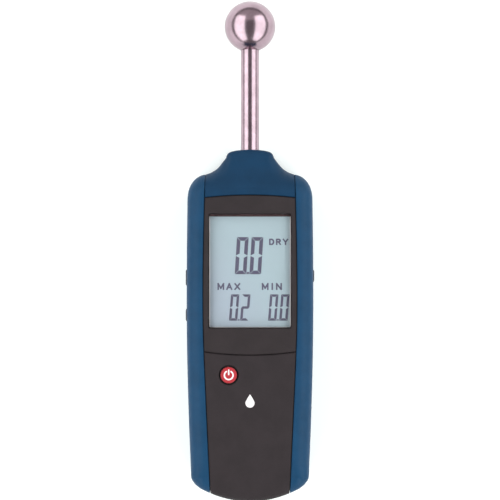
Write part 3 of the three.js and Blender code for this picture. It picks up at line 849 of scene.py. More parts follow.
@dataclass(frozen=True)
class Backdrop(Finish):
    """A pale studio floor that glows a little, as a light table does."""

    name: str
    colour: Colour
    glow: float

    def dress(self, tree: ShaderTree) -> None:
        """Builds a matt surface with the faintest unevenness.

        Args:
            tree: The new material's node tree.
        """
        clouds = tree.noise(0.004, 2)
        base = tree.mix(clouds, opaque(self.colour, 0.985), opaque(self.colour))
        tree.set(Base_Color=base, Roughness=0.9, Emission_Color=base, Emission_Strength=self.glow,
                 Specular_IOR_Level=0.1)


LCD_LOW, LCD_HIGH = (tuple(corner) for corner in span("lcd_glass"))

FINISHES: dict[str, Finish] = {
    "blue_grip": Moulded("blue grip", (0.0065, 0.042, 0.100), 0.5, 0.014, 0.26, specular=0.15),
    "blue_head": Moulded("blue head", (0.0048, 0.030, 0.073), 0.5, 0.012, 0.24, specular=0.15),
    "charcoal_case": Moulded("charcoal case", (0.0260, 0.0190, 0.0215), 0.6, 0.012, 0.20, specular=0.15),
    "charcoal_panel": Moulded("charcoal panel", (0.0270, 0.0200, 0.0220), 0.55, 0.008, 0.18, specular=0.15),
    "clear_lens": ClearWindow("clear lens", (0.97, 0.98, 0.985)),
    # The display face's second colour is the painted shade for its lower left corner.
    "lcd_face": DisplayFace("display face", (0.455, 0.535, 0.59), (0.45, 0.49, 0.575), LCD_LOW, LCD_HIGH),
    "white_plastic": Moulded("white plastic", (0.70, 0.70, 0.67), 0.5, 0.006, 0.2, 0.03),
    "black_rubber": Foam("black foam rubber", (0.014, 0.014, 0.016)),
    "zinc_steel": PlatedMetal("zinc steel", (0.42, 0.43, 0.45)),
    "polished_steel": TurnedMetal("polished steel", (0.39, 0.28, 0.325)),
    "nylon": Moulded("nylon", (0.70, 0.66, 0.57), 0.55, 0.008, 0.3, 0.04),
    "tag_brass": PlatedMetal("tag brass", (0.552, 0.323, 0.091)),
    "coil_copper": Wound("coil copper", (0.462, 0.165, 0.042)),
    "red_insulation": Moulded("red insulation", (0.451, 0.014, 0.018), 0.35, 0.004, 0.3),
    "black_insulation": Moulded("black insulation", (0.009, 0.009, 0.010), 0.35, 0.004, 0.3),
    "red_button": Moulded("red button", (0.370, 0.027, 0.036), 0.42, 0.006, 0.2, 0.05, specular=0.25),
    "key_rubber": Moulded("key rubber", (0.030, 0.027, 0.032), 0.72, 0.014, 0.2),
    "black_plastic": Moulded("black plastic", (0.010, 0.010, 0.011), 0.45, 0.008, 0.2),
    "board_green": BoardMask("board green", (0.012, 0.102, 0.034)),
    "battery_jacket": Moulded("battery jacket", (0.019, 0.021, 0.025), 0.28, 0.003, 0.5, 0.05, 0.6),
    "display_ink": Moulded("display ink", (0.112, 0.093, 0.153), 0.5, 0.001, 0.3, 0.06),
    # A dark red-brown that is painted shadow along the display's top edge.
    "painted_top_shadow": Moulded("painted top shadow", (0.080, 0.030, 0.036), 0.5, 0.002, 0.25, 0.05),
    # Pale print, also used for the painted highlight round the display.
    "pale_print_and_painted_highlight": Moulded("pale print and painted highlight", (0.80, 0.72, 0.74), 0.5, 0.002, 0.15, 0.03),
}


# ---------------------------------------------------------------------------------------
# Studio
# ---------------------------------------------------------------------------------------


@dataclass
class Softbox:
    """A rectangular studio light, its sizes in metres."""

    name: str
    place: Point
    width: float
    length: float
    radiance: float
    colour: Colour = (1.0, 1.0, 1.0)

    def build(self) -> None:
        """Adds the light, turned towards the meter's long axis or, over it, towards its middle."""
        light = bpy.data.lights.new(self.name, "AREA")
        light.shape = "RECTANGLE"
        light.size = self.width
        light.size_y = self.length
        light.energy = self.radiance * math.pi * self.width * self.length
        light.color = self.colour
        lamp = bpy.data.objects.new(self.name, light)
        bpy.context.scene.collection.objects.link(lamp)
        lamp.location = self.place
        across, along, height = self.place
        turned_in = math.atan2(across, height)
        lamp.rotation_euler = (0, turned_in, 0) if across else (math.atan2(-along, height), 0, 0)


@dataclass
class Studio:
    """The camera, the lights and the floor, sizes in metres."""

    lens: float = 135.0
    sensor: float = 36.0
    margin: float = 0.0006
    floor_size: float = 6.0
    floor_gap: float = 0.0002
    floor_glow: float = 0.27
    surround: float = 0.24
    boxes: list[Softbox] = field(default_factory=lambda: [
        Softbox("left_softbox", (-0.57, -0.40, 0.50), 0.70, 2.4, 2.7, (0.92, 1.0, 0.97)),
        Softbox("right_softbox", (0.57, -0.40, 0.50), 0.70, 2.4, 2.7, (0.92, 1.0, 0.97)),
        Softbox("top_softbox", (0.0, 1.10, 0.85), 2.6, 1.3, 0.36),
    ])

    def build(self) -> None:
        """Sets up the camera first, then the lights and the floor."""
        low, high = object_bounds()
        middle = (Vector(low) + Vector(high)) / 2
        ball_low, ball_high = span("sensor_ball")
        widest = (ball_low.z + ball_high.z) / 2 * MM
        self.camera(middle, high[1] - low[1] + 2 * self.margin, widest)
        for box in self.boxes:
            box.build()
        self.world()
        self.floor(low[2])

    def camera(self, middle: Vector, tall: float, plane: float) -> None:
        """Adds the camera, looking straight down with +Y up in the picture.

        Args:
            middle: The point below the camera.
            tall: What the picture's height covers.
            plane: The height at which it covers that much.
        """
        data = bpy.data.cameras.new("camera")
        data.lens = self.lens
        data.sensor_width = self.sensor
        camera = bpy.data.objects.new("camera", data)
        bpy.context.scene.collection.objects.link(camera)
        camera.location = (middle.x, middle.y, plane + tall * self.lens / self.sensor)
        bpy.context.scene.camera = camera

    def world(self) -> None:
        """A dim plain surround, and colours shown as they are."""
        world = bpy.data.worlds.new("surround")
        world.use_nodes = True
        background = world.node_tree.nodes["Background"]
        background.inputs["Color"].default_value = (1.0, 0.985, 0.99, 1.0)
        background.inputs["Strength"].default_value = self.surround
        bpy.context.scene.world = world
        bpy.context.scene.view_settings.view_transform = "Standard"

    def floor(self, level: float) -> None:
        """Adds the floor just below the meter's back.

        Args:
            level: The height of the back.
        """
        deselect()
        bpy.ops.mesh.primitive_plane_add(size=self.floor_size, location=(0, 0, level - self.floor_gap))
        floor = bpy.context.object
        floor.name = "floor"
        floor.data.materials.append(Backdrop("floor", (0.86, 0.86, 0.86), self.floor_glow).material())
        floor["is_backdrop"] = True


# ---------------------------------------------------------------------------------------
# The form that the housing's pieces are cut from
# ---------------------------------------------------------------------------------------


@dataclass
class CaseForm:
    """The outer form of the case and its seams, in millimetres.

    The form is drawn as rows of points: each row starts on the middle of the front, runs out over
    the round rim, down the side and back to the middle of the rear.
    """

    top_half: float = 29.3
    bottom_half: float = 27.6
    widest_y: float = -24.0
    shoulder_top: float = 35.5
    shoulder_rise: float = 12.0
    bottom_corner: float = 6.5
    tip_half: float = 22.2
    tip_sag: float = 5.6
    neck_half: float = 10.8
    neck_foot_half: float = 13.6
    neck_foot_y: float = 40.2
    neck_corner: float = 2.6
    neck_crown: float = 0.8
    neck_depth_half: float = 10.0
    flare_start: float = 25.0
    flare_end: float = 42.0
    front_round: float = 7.0
    back_round: float = 5.0
    end_round: float = 4.0
    neck_round: float = 2.3
    seam: tuple[Point, ...] = ((20.9, 35.5), (21.7, 0.0), (21.9, -24.0), (21.4, -48.9), (18.6, -111.9))
    head_seam_y: float = 25.6
    head_seam_rise: float = -1.3
    panel_seam_y: float = -48.9
    panel_seam_rise: float = 1.6
    chamfer: float = 0.35
    rim_steps: int = 9
    spine_low: float = 13.0
    spine_top: float = 6.0
    half: float = field(init=False)
    depth: float = field(init=False)
    neck_top: float = field(init=False)
    bottom: float = field(init=False)

    def __post_init__(self) -> None:
        """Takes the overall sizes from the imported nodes."""
        grip_low, grip_high = span("left_grip")
        self.half = -grip_low.x
        self.depth = grip_high.z
        self.neck_top = span("head_shell")[1].y
        self.bottom = span("front_case")[0].y

    def right_edge(self, inset: float) -> Outline:
        """The right half of the outline, from the neck's top down to the tip.

        Args:
            inset: How much smaller than the case the outline is.

        Returns:
            The outline's points.
        """
        top = self.neck_top - inset
        corner = max(self.neck_corner - inset, 0.4)
        neck = self.neck_half - inset
        shoulder_x = self.seam[0][0] - inset / 2
        shoulder_y = self.shoulder_top - inset
        side = self.top_half - inset
        wide = self.half - inset
        low_side = self.bottom_half - inset
        tip_x = self.tip_half - inset / 2
        tip_y = self.bottom + self.tip_sag + inset
        corner_x = low_side - 0.2
        corner_y = tip_y + (corner_x - tip_x) * 2 * self.tip_sag / tip_x
        end_y = self.bottom + self.tip_sag + self.bottom_corner
        # Each span has its handles, its end and how many points it gets. In order: the neck's top,
        # its corner, its side, the hollow below it, the shoulder, the upper side, the lower side,
        # the bottom corner and the tip.
        spans = [
            ([(neck * 0.5, top), (neck - corner, top - self.neck_crown)], 8),
            ([(neck, top - self.neck_crown * 1.6), (neck + 0.4, top - corner - 1.2)], 7),
            ([(self.neck_foot_half - inset, self.neck_foot_y - inset * 0.4)], 5),
            ([(self.neck_foot_half + 2.6 - inset, self.shoulder_top + 1.2 - inset),
              (shoulder_x, shoulder_y)], 8),
            ([(shoulder_x + 4.8, shoulder_y - 0.6), (side, shoulder_y - 5),
              (side, self.shoulder_top - self.shoulder_rise)], 14),
            ([(wide, 0.0), (wide, self.widest_y)], 12),
            ([(wide, -60.0), (low_side, end_y)], 16),
            ([(corner_x, corner_y), (tip_x, tip_y)], 10),
            ([(tip_x / 2, self.bottom + inset), (0.0, self.bottom + inset)], 10),
        ]
        edge: Outline = [(0.0, top)]
        for handles, steps in spans:
            edge += bezier([edge[-1], *handles], steps)
        return edge

    @staticmethod
    def outward(edge: Outline) -> list[Vector]:
        """The outward direction at each point of an outline that runs clockwise.

        Args:
            edge: The outline.

        Returns:
            A unit vector for each point.
        """
        before = [edge[0], *edge[:-1]]
        after = [*edge[1:], edge[-1]]
        normals = []
        for a, b in zip(before, after):
            along = Vector(b) - Vector(a)
            normals.append(Vector((-along.y, along.x)).normalized())
        normals[0] = Vector((0.0, 1.0))
        normals[-1] = Vector((0.0, -1.0))
        return normals

    def rims(self, edge: Outline, normals: list[Vector], widest: float) -> list[float]:
        """How wide the rounded rim is at each point of an outline.

        The rim narrows at the neck and the tip, and wherever the outline itself turns too tightly.

        Args:
            edge: The outline.
            normals: Its outward directions.
            widest: The rim's full width.

        Returns:
            A width for each point.
        """
        spacing = [max((Vector(b) - Vector(a)).length, 0.01) for a, b in zip(edge, edge[1:])]
        widths = []
        for index, point in enumerate(edge):
            width = widest
            if point[1] > self.neck_foot_y:
                share = min((point[1] - self.neck_foot_y) / (self.neck_top - self.neck_foot_y) * 1.5, 1.0)
                width = widest + (min(self.neck_round, widest) - widest) * share
            if point[1] < self.bottom + self.tip_sag + 1:
                width = min(widest, self.end_round)
            if 0 < index < len(edge) - 1:
                turn = normals[index - 1].angle_signed(normals[index + 1])
                run = spacing[index - 1] + spacing[index]
                if turn > 0.02:
                    width = min(width, 0.8 * run / turn)
            widths.append(width)
        for order in (range(1, len(widths)), range(len(widths) - 2, -1, -1)):
            for index in order:
                step = -1 if order.step > 0 else 1
                run = spacing[min(index, index + step)]
                widths[index] = min(widths[index], widths[index + step] + 0.45 * run)
        return widths

    def sunk(self, y: float) -> float:
        """How far the front and back faces stand in at a place along Y, for the thinner neck.

        Args:
            y: The place.

        Returns:
            The distance, which is 0 below the head.
        """
        share = min(max((y - self.flare_start) / (self.flare_end - self.flare_start), 0.0), 1.0)
        eased = share ** 3 * (10 - 15 * share + 6 * share * share)
        return (self.depth / 2 - self.neck_depth_half) * eased

    def row(self, point: Vector, normal: Vector, widths: tuple[float, float], inset: float) -> Outline:
        """One row of points over the form.

        Args:
            point: The row's place on the outline.
            normal: The outward direction there.
            widths: The front and the back rim's width there.
            inset: How much smaller the form is than the case.

        Returns:
            The row's points.
        """
        halves = []
        for width, sign in zip(widths, (1, -1)):
            inner = point - normal * width
            spine_y = min(max(inner.y, self.bottom + self.spine_low), self.neck_top - self.spine_top - inset)
            spine = Vector((0.0, spine_y))
            flat = [spine.lerp(inner, share) for share in (0.0, 0.5, 0.96)]
            places = [(spot, 0.0) for spot in flat]
            for step in range(self.rim_steps + 1):
                angle = math.pi / 2 * step / self.rim_steps
                places.append((inner + normal * width * math.sin(angle), width * (1 - math.cos(angle))))
            level = self.depth / 2 - inset
            halves.append([(spot.x, spot.y, self.depth / 2 + sign * (level - self.sunk(spot.y) - drop))
                           for spot, drop in places])
        return halves[0] + halves[1][::-1]

    def solid(self, name: str, inset: float = 0.0) -> bpy.types.Object:
        """The whole form, smaller by an inset on every side.

        Args:
            name: The object's name.
            inset: How much smaller it is.

        Returns:
            A closed solid.
        """
        edge = self.right_edge(inset)
        normals = self.outward(edge)
        fronts = self.rims(edge, normals, self.front_round - inset / 2)
        backs = self.rims(edge, normals, self.back_round - inset / 2)
        rows = [self.row(Vector(point), normal, widths, inset)
                for point, normal, widths in zip(edge, normals, zip(fronts, backs))]
        half = laid_grid(name, rows)
        apply_modifier(half, "MIRROR", {"use_axis": (True, False, False), "merge_threshold": 2 * MERGE * MM})
        return close_up(half)

    def levels(self, trim: float) -> list[tuple[float, float]]:
        """Heights with the offset that a seam has there, wider or narrower at the two faces.

        Args:
            trim: 1 for a tool that cuts away, -1 for one that keeps.

        Returns:
            Pairs of height and offset.
        """
        flare = self.chamfer * trim
        far = (self.chamfer + 2) * trim
        return [(-2.0, far), (0.0, flare), (self.chamfer, 0.0), (self.depth - self.chamfer, 0.0),
                (self.depth, flare), (self.depth + 2, far)]

    def strip(self, name: str, offset: float, trim: float) -> bpy.types.Object:
        """The space between the two grips.

        Args:
            name: The object's name.
            offset: How much wider than the seams it is on each side.
            trim: 1 to widen at the front and back faces, -1 to narrow there.

        Returns:
            The solid.
        """
        line = spline(self.seam, 8)
        line = [(line[0][0], self.neck_top + 20), *line, (line[-1][0] - 0.2, self.bottom - CLEAR)]
        rings = []
        for height, flare in self.levels(trim):
            right = [(x + offset + flare, y, height) for x, y in line]
            rings.append(right + [(-x, y, z) for x, y, z in reversed(right)])
        return loft(name, rings)

    def below(self, name: str, centre_y: float, rise: float, offset: float, trim: float) -> bpy.types.Object:
        """Everything below an arc that crosses the case.

        Args:
            name: The object's name.
            centre_y: The arc's height at the middle.
            rise: How much higher it is at the seams.
            offset: How far the arc moves up.
            trim: 1 to move further up at the front and back faces, -1 to move down there.

        Returns:
            The solid.
        """
        wide = self.half + CLEAR
        side_y = centre_y + rise * (wide / self.seam[2][0]) ** 2
        line = [(wide, side_y), *bezier([(wide, side_y), (0.0, 2 * centre_y - side_y), (-wide, side_y)], 32)]
        low = self.bottom - CLEAR
        rings = [[(wide, low, height), *((x, y + offset + flare, height) for x, y in line),
                  (-wide, low, height)] for height, flare in self.levels(trim)]
        return loft(name, rings)

    def slab(self, name: str, low: float, high: float) -> bpy.types.Object:
        """A slab of space between two heights, larger than the case."""
        wide = self.half + CLEAR + 1
        return block(name, (-wide, self.bottom - CLEAR - 1, low), (wide, self.neck_top + 30, high))


# ---------------------------------------------------------------------------------------
# Housing
# ---------------------------------------------------------------------------------------


@dataclass
class SideKey:
    """A small key on one side of the case, in millimetres."""

    name: str
    side: Side
    y: float
    length: float
    height: float = 3.6

    def opening(self, level: float, inner: float, outer: float) -> bpy.types.Object:
        """The hole that the key needs.

        Args:
            level: The key's height above the back.
            inner: Where the hole starts, measured out from the middle.
            outer: Where it ends.

        Returns:
            The hole as a solid.
        """
        rise = self.height / 2 + GAP
        reach = self.length / 2 + GAP
        outline = rounded((self.y - reach, level - rise), (self.y + reach, level + rise), self.height / 2)
        return self.along("key_opening", outline, inner, outer)

    def along(self, name: str, outline: Outline, inner: float, outer: float) -> bpy.types.Object:
        """An outline in Y and Z extruded outwards on the key's side."""
        places = sorted((inner * self.side.value, outer * self.side.value))
        return prism(name, outline, places[0], places[1], Axis.X)


SIDE_KEYS = [
    SideKey("left_upper", Side.LEFT, -13.0, 7.4),
    SideKey("left_lower", Side.LEFT, -30.6, 5.8),
    SideKey("right", Side.RIGHT, -12.2, 5.6),
]


@dataclass
class Housing:
    """The grips, the head, the front and rear case and the display panel, in millimetres."""

    form: CaseForm
    grip_wall: float = 2.0
    case_wall: float = 1.8
    panel_thickness: float = 1.8
    socket_floor: float = 33.0
    stem_lead: float = 0.5
    view_half: float = 19.0
    view_top: float = 16.6
    view_bottom: float = -36.1
    panel_margin: float = 0.3
    bevel: float = 0.4
    power_place: Point = (-9.9, -58.2)
    power_hole: float = 4.6
    power_flange: float = 5.8
    power_wall: float = 1.6
    power_lead: float = 0.35
    power_land: float = 0.25
    screw_spots: tuple[Point, ...] = ((-16.0, 20.6), (16.0, 20.6), (-17.5, -50.0), (17.5, -50.0))
    screw_head: float = 2.6
    screw_shank: float = 1.3
    boss_radius: float = 2.9
    screw_depth: float = 2.7
    boss_end: float = 3.6
    pilot_end: float = 4.7
    lead_in: float = 0.4
    label_depth: float = 0.3
    bay_wall: float = 1.4
    bay_clearance: float = 0.85
    door_ledge: float = 1.4
    door_thickness: float = 2.0
    tongue: float = 1.1
    tongue_low: float = 0.9
    tongue_high: float = 1.7
    label_low: Point = (-15.0, -38.0)
    label_high: Point = (15.0, 12.0)
    key_reach: float = 14.0
    key_level: float = field(init=False)

    def __post_init__(self) -> None:
        """Finds the keys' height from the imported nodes."""
        low, high = span("left_upper_plunger")
        self.key_level = (low.z + high.z) / 2

    def build(self) -> None:
        """Builds every piece of the housing."""
        form = self.form
        self.whole = form.solid("whole_form")
        self.under_grips = form.solid("under_grips", self.grip_wall)
        self.inner = form.solid("inner_form", self.grip_wall + GAP)
        cavity_inset = self.grip_wall + GAP + self.case_wall
        wide = form.half
        room = block("cavity_end", (-wide, form.bottom, -1), (wide, self.socket_floor, form.depth))
        self.cavity = combine(form.solid("cavity", cavity_inset), Cut.COMMON, room)
        self.kept_strip = form.strip("kept_strip", -GAP / 2, -1)
        self.grips()
        self.head()
        self.front()
        self.rear()
        self.panel()
        for tool in (self.whole, self.under_grips, self.inner, self.cavity, self.kept_strip):
            remove(tool)

    def openings(self, side: Side | None = None) -> list[bpy.types.Object]:
        """The side keys' holes, on one side or on both."""
        return [key.opening(self.key_level, self.key_reach, self.form.half + CLEAR)
                for key in SIDE_KEYS if side in (None, key.side)]

    def centre(self, name: str) -> bpy.types.Object:
        """The part of the form that lies between the seams and below the head.

        Args:
            name: The object's name.

        Returns:
            The solid.
        """
        form = self.form
        strip = combine(copied(self.whole, name), Cut.COMMON, self.kept_strip, keep=True)
        below_head = form.below("below_head", form.head_seam_y, form.head_seam_rise, -GAP / 2, -1)
        return combine(strip, Cut.COMMON, below_head)

    def bore(self) -> bpy.types.Object:
        """The round hole that the probe's stem passes through.

        Returns:
            The hole as a solid.
        """
        low, high = span("rod_bush")
        radius = (high.x - low.x) / 2 + GAP
        centre = (0, 0, self.form.depth / 2)
        return pin("socket_bore", radius, (self.socket_floor - 2, self.form.neck_top), centre, Axis.Y, 48)

    def grips(self) -> None:
        """The two blue grips, each a thin wall that wraps one side."""
        form = self.form
        for side in Side:
            name = f"{side.name.lower()}_grip"
            reach = sorted((0.0, side.value * (form.half + CLEAR)))
            half = block("half", (reach[0], form.bottom - CLEAR, -1),
                         (reach[1], form.shoulder_top + 8, form.depth + 1))
            shell = combine(copied(self.whole, f"{name}_shell"), Cut.COMMON, half)
            strip = form.strip("cut_strip", GAP / 2, 1)
            combine(shell, Cut.AWAY, strip)
            combine(shell, Cut.AWAY, self.under_grips, keep=True)
            combine(shell, Cut.AWAY, *self.openings(side))
            finish_piece(shell, "meter", "blue_grip", name)

    def head(self) -> None:
        """The blue head with the neck that the probe stands in."""
        form = self.form
        shell = combine(copied(self.whole, "head_cover"), Cut.COMMON, self.kept_strip, keep=True)
        combine(shell, Cut.AWAY, form.below("head_seam", form.head_seam_y, form.head_seam_rise, GAP / 2, 1))
        combine(shell, Cut.AWAY, self.under_grips, keep=True)
        low, high = span("sensor_rod")
        radius = (high.x - low.x) / 2 + GAP
        middle = form.depth / 2
        lead = radius + self.stem_lead
        top = form.neck_top
        profile = [(0.0, self.socket_floor), (radius, self.socket_floor), (radius, top - self.stem_lead),
                   (lead, top), (lead, top + 1), (0.0, top + 1)]
        combine(shell, Cut.AWAY, turned("stem_hole", profile, (0, 0, middle), Axis.Y))
        finish_piece(shell, "meter", "blue_head", "head_shell")

    def shell(self, name: str) -> bpy.types.Object:
        """The centre strip and the inner shell under the grips, hollowed out."""
        solid = combine(self.centre(name), Cut.JOIN, self.inner, keep=True)
        return combine(solid, Cut.AWAY, self.cavity, keep=True)

    def view(self, margin: float, corner: float) -> Outline:
        """The display's visible area, larger by a margin, its corners rounded."""
        return rounded((-self.view_half - margin, self.view_bottom - margin),
                       (self.view_half + margin, self.view_top + margin), corner)

    def front(self) -> None:
        """The front case, with the seat for the display panel and the power button's hole."""
        form = self.form
        seat = form.depth - self.panel_thickness - GAP
        middle = form.depth / 2
        shell = self.shell("front_cover")
        combine(shell, Cut.COMMON, form.slab("front_half", middle + GAP / 2, form.depth + 1))
        recess = form.slab("panel_seat", seat, form.depth + 2)
        below_panel = form.below("below_panel", form.panel_seam_y, form.panel_seam_rise, -GAP / 2, -1)
        combine(recess, Cut.AWAY, below_panel)
        combine(shell, Cut.AWAY, recess)
        for spot in self.screw_spots:
            foot = middle + GAP / 2
            boss = pin("front_boss", self.boss_radius, (foot, form.depth - self.boss_end), (*spot, 0))
            combine(shell, Cut.JOIN, boss)
            hole_ends = (middle - 1, form.depth - self.pilot_end)
            pilot = pin("pilot", self.screw_shank + GAP, hole_ends, (*spot, 0), steps=20)
            combine(shell, Cut.AWAY, pilot)
        low, high = span("lcd_glass")
        pocket = block("glass_pocket", (low.x - GAP, low.y - GAP, middle),
                       (high.x + GAP, high.y + GAP, high.z + GAP))
        combine(shell, Cut.AWAY, pocket, prism("view", self.view(0.0, 0.8), middle, form.depth + 1))
        rim = form.depth - self.power_wall
        hole = self.power_hole
        pocket_radius = self.power_flange
        profile = [(0.0, middle), (pocket_radius, middle), (pocket_radius, rim), (hole, rim),
                   (hole, form.depth - self.power_land), (hole + self.power_lead, form.depth),
                   (hole + self.power_lead, form.depth + 1),
                   (0.0, form.depth + 1)]
        combine(shell, Cut.AWAY, turned("power_hole", profile, (*self.power_place, 0), Axis.Z, 64))
        combine(shell, Cut.AWAY, self.bore(), *self.openings())
        finish_piece(shell, "meter", "charcoal_case", "front_case")

    def bay(self) -> bpy.types.Object:
        """The walls and roof of the battery bay.

        Returns:
            The solid, before the bay's space is cut out of it.
        """
        form = self.form
        battery_high = span("battery")[1]
        top = span("battery_snap")[1].y + GAP + self.bay_wall
        board_low = span("main_board")[0]
        outer = battery_high.x + self.bay_clearance + self.bay_wall
        roof = battery_high.z + GAP + self.bay_wall
        inner = self.grip_wall + GAP + self.case_wall
        split = min(board_low.y - GAP, top)
        long = block("bay_long", (-outer, form.bottom, inner - 0.5), (outer, split, roof))
        short = block("bay_short", (-outer, split - 1, inner - 0.5), (outer, top, board_low.z - GAP))
        combine(long, Cut.JOIN, short)
        middle = form.depth / 2
        lower = combine(form.solid("bay_lower", inner - 0.2), Cut.COMMON,
                        form.slab("low", 0.0, middle - GAP / 2))
        upper = combine(form.solid("bay_upper", inner + GAP), Cut.COMMON,
                        form.slab("high", middle - GAP / 2 - 0.1, form.depth))
        return combine(long, Cut.COMMON, combine(lower, Cut.JOIN, upper))

    def rear(self) -> None:
        """The rear case, with the battery bay, the screw wells and a blank label recess."""
        form = self.form
        middle = form.depth / 2
        shell = combine(self.shell("rear_cover"), Cut.COMMON, form.slab("rear_half", -1, middle - GAP / 2))
        combine(shell, Cut.JOIN, self.bay())
        for spot in self.screw_spots:
            ends = (self.boss_end, middle - GAP / 2)
            combine(shell, Cut.JOIN, pin("rear_boss", self.boss_radius, ends, (*spot, 0)))
            head, hole, lead = self.screw_head + GAP, self.screw_shank + GAP, self.lead_in
            step = self.screw_depth
            well = [(0.0, -1.0), (head + lead, -1.0), (head + lead, 0.0), (head, lead), (head, step),
                    (hole, step), (hole, middle + 1), (0.0, middle + 1)]
            combine(shell, Cut.AWAY, turned("well", well, (*spot, 0), Axis.Z, 36))
        for tool in self.door_space():
            combine(shell, Cut.AWAY, tool)
        label = prism("label", rounded(self.label_low, self.label_high, 2.0), -1.0, self.label_depth)
        combine(shell, Cut.AWAY, label, self.bore(), *self.openings())
        finish_piece(shell, "meter", "charcoal_case", "rear_case")

    def door_space(self) -> Iterator[bpy.types.Object]:
        """The spaces that the battery, the door, its tongues, its lip and the leads need.

        Returns:
            Each space as a solid, one at a time.
        """
        form = self.form
        far = form.bottom - CLEAR
        battery_low, battery_high = span("battery")
        top = span("battery_snap")[1].y + GAP
        bay_half = battery_high.x + self.bay_clearance
        door = bay_half + self.door_ledge + GAP
        door_top = top + self.bay_wall + GAP
        lip = span("battery_door")[1].z + GAP
        yield block("bay_inside", (-bay_half, battery_low.y - GAP, self.door_thickness),
                    (bay_half, top, battery_high.z + GAP))
        yield block("door_space", (-door, far, -1), (door, door_top, self.door_thickness + GAP))
        yield block("grooves", (-door - self.tongue, far, self.tongue_low - GAP),
                    (door + self.tongue, door_top - 2, self.tongue_high + GAP))
        yield block("lip_space", (-door, far, -1), (door, battery_low.y - GAP + self.bay_wall, lip))
        for node in ("red_battery_lead", "black_battery_lead"):
            low, high = span(node)
            middle = (low.x + high.x) / 2
            width = (high.x - low.x) / 2 + GAP
            height = low.z + width - GAP
            outline = rounded((middle - width, height - width), (middle + width, height + width),
                              width * 0.99)
            yield prism("lead_hole", outline, top - 1, top + self.bay_wall + 1, Axis.Y)

    def panel(self) -> None:
        """The display panel, a thin plate with a bevelled opening."""
        form = self.form
        plate = combine(self.centre("face_panel"), Cut.COMMON,
                        form.slab("panel_layer", form.depth - self.panel_thickness, form.depth + 1))
        combine(plate, Cut.AWAY,
                form.below("panel_seam", form.panel_seam_y, form.panel_seam_rise, GAP / 2, 1))
        steps = [(0.0, 0.0), (form.depth - self.bevel, 0.0), (form.depth, self.bevel),
                 (form.depth + 1, 1.5)]
        rings = [[(x, y, height) for x, y in self.view(self.panel_margin + flare, 1.0 + flare)]
                 for height, flare in steps]
        combine(plate, Cut.AWAY, loft("opening", rings))
        finish_piece(plate, "meter", "charcoal_panel", "display_panel")


@dataclass
class BatteryDoor:
    """The sliding door over the battery, with thumb ribs and an arrow, in millimetres."""

    form: CaseForm
    thickness: float = Housing.door_thickness
    edge: float = 0.35
    lip_wall: float = 5.0
    tongue: float = Housing.tongue
    ribs: int = 7
    rib_half: float = 9.0
    rib_pitch: float = 1.9
    rib_start: float = -103.0
    rib_width: float = 1.0
    rib_depth: float = 0.5
    arrow_y: float = -84.0
    arrow_half: float = 3.4
    arrow_drop: float = 4.4
    arrow_depth: float = 0.35

    def build(self) -> None:
        """Builds the door and its foam pad."""
        form = self.form
        low, high = span("battery_door")
        half = high.x - self.tongue
        battery_low = span("battery")[0].y
        far = form.bottom - CLEAR
        rings = [[(-half + trim, far, height), (half - trim, far, height),
                  (half - trim, high.y - trim, height), (-half + trim, high.y - trim, height)]
                 for height, trim in ((0.0, self.edge), (self.edge, 0.0), (self.thickness, 0.0))]
        door = loft("battery_hatch", rings)
        tongues = block("tongues", (low.x, battery_low, Housing.tongue_low),
                        (high.x, high.y - 2, Housing.tongue_high))
        lip = block("lip", (-half, far, self.edge), (half, form.bottom + self.lip_wall, high.z))
        combine(door, Cut.JOIN, tongues, lip)
        combine(door, Cut.COMMON, form.solid("door_form"))
        for index in range(self.ribs):
            y = self.rib_start + index * self.rib_pitch
            groove = rounded((-self.rib_half, y - self.rib_width / 2),
                             (self.rib_half, y + self.rib_width / 2), 0.49 * self.rib_width, 5)
            combine(door, Cut.AWAY, prism("groove", groove, -1.0, self.rib_depth))
        combine(door, Cut.AWAY, prism("arrow", self.arrow(), -1.0, self.arrow_depth))
        finish_piece(door, "door", "charcoal_case", "battery_door")
        pad = self.pad()
        finish_piece(pad, "door", "black_rubber", "door_foam")

    def arrow(self) -> Outline:
        """The outline of the chevron that shows which way the door slides.

        Returns:
            The outline's points.
        """
        wide, y, drop = self.arrow_half, self.arrow_y, self.arrow_drop / 2
        inner, rise = wide - 1.2, drop + 0.8
        return [(-wide, y + drop), (0.0, y - drop), (wide, y + drop), (inner, y + rise),
                (0.0, y + 0.2), (-inner, y + rise)]

    @staticmethod
    def pad() -> bpy.types.Object:
        """The foam pad that keeps the battery from rattling.

        Returns:
            The pad.
        """
        low, high = span("door_foam")
        pad = prism("foam_pad", rounded((low.x, low.y), (high.x, high.y), 1.5), low.z, high.z)
        return soften(pad, 0.2)


# ---------------------------------------------------------------------------------------
# Display
# ---------------------------------------------------------------------------------------


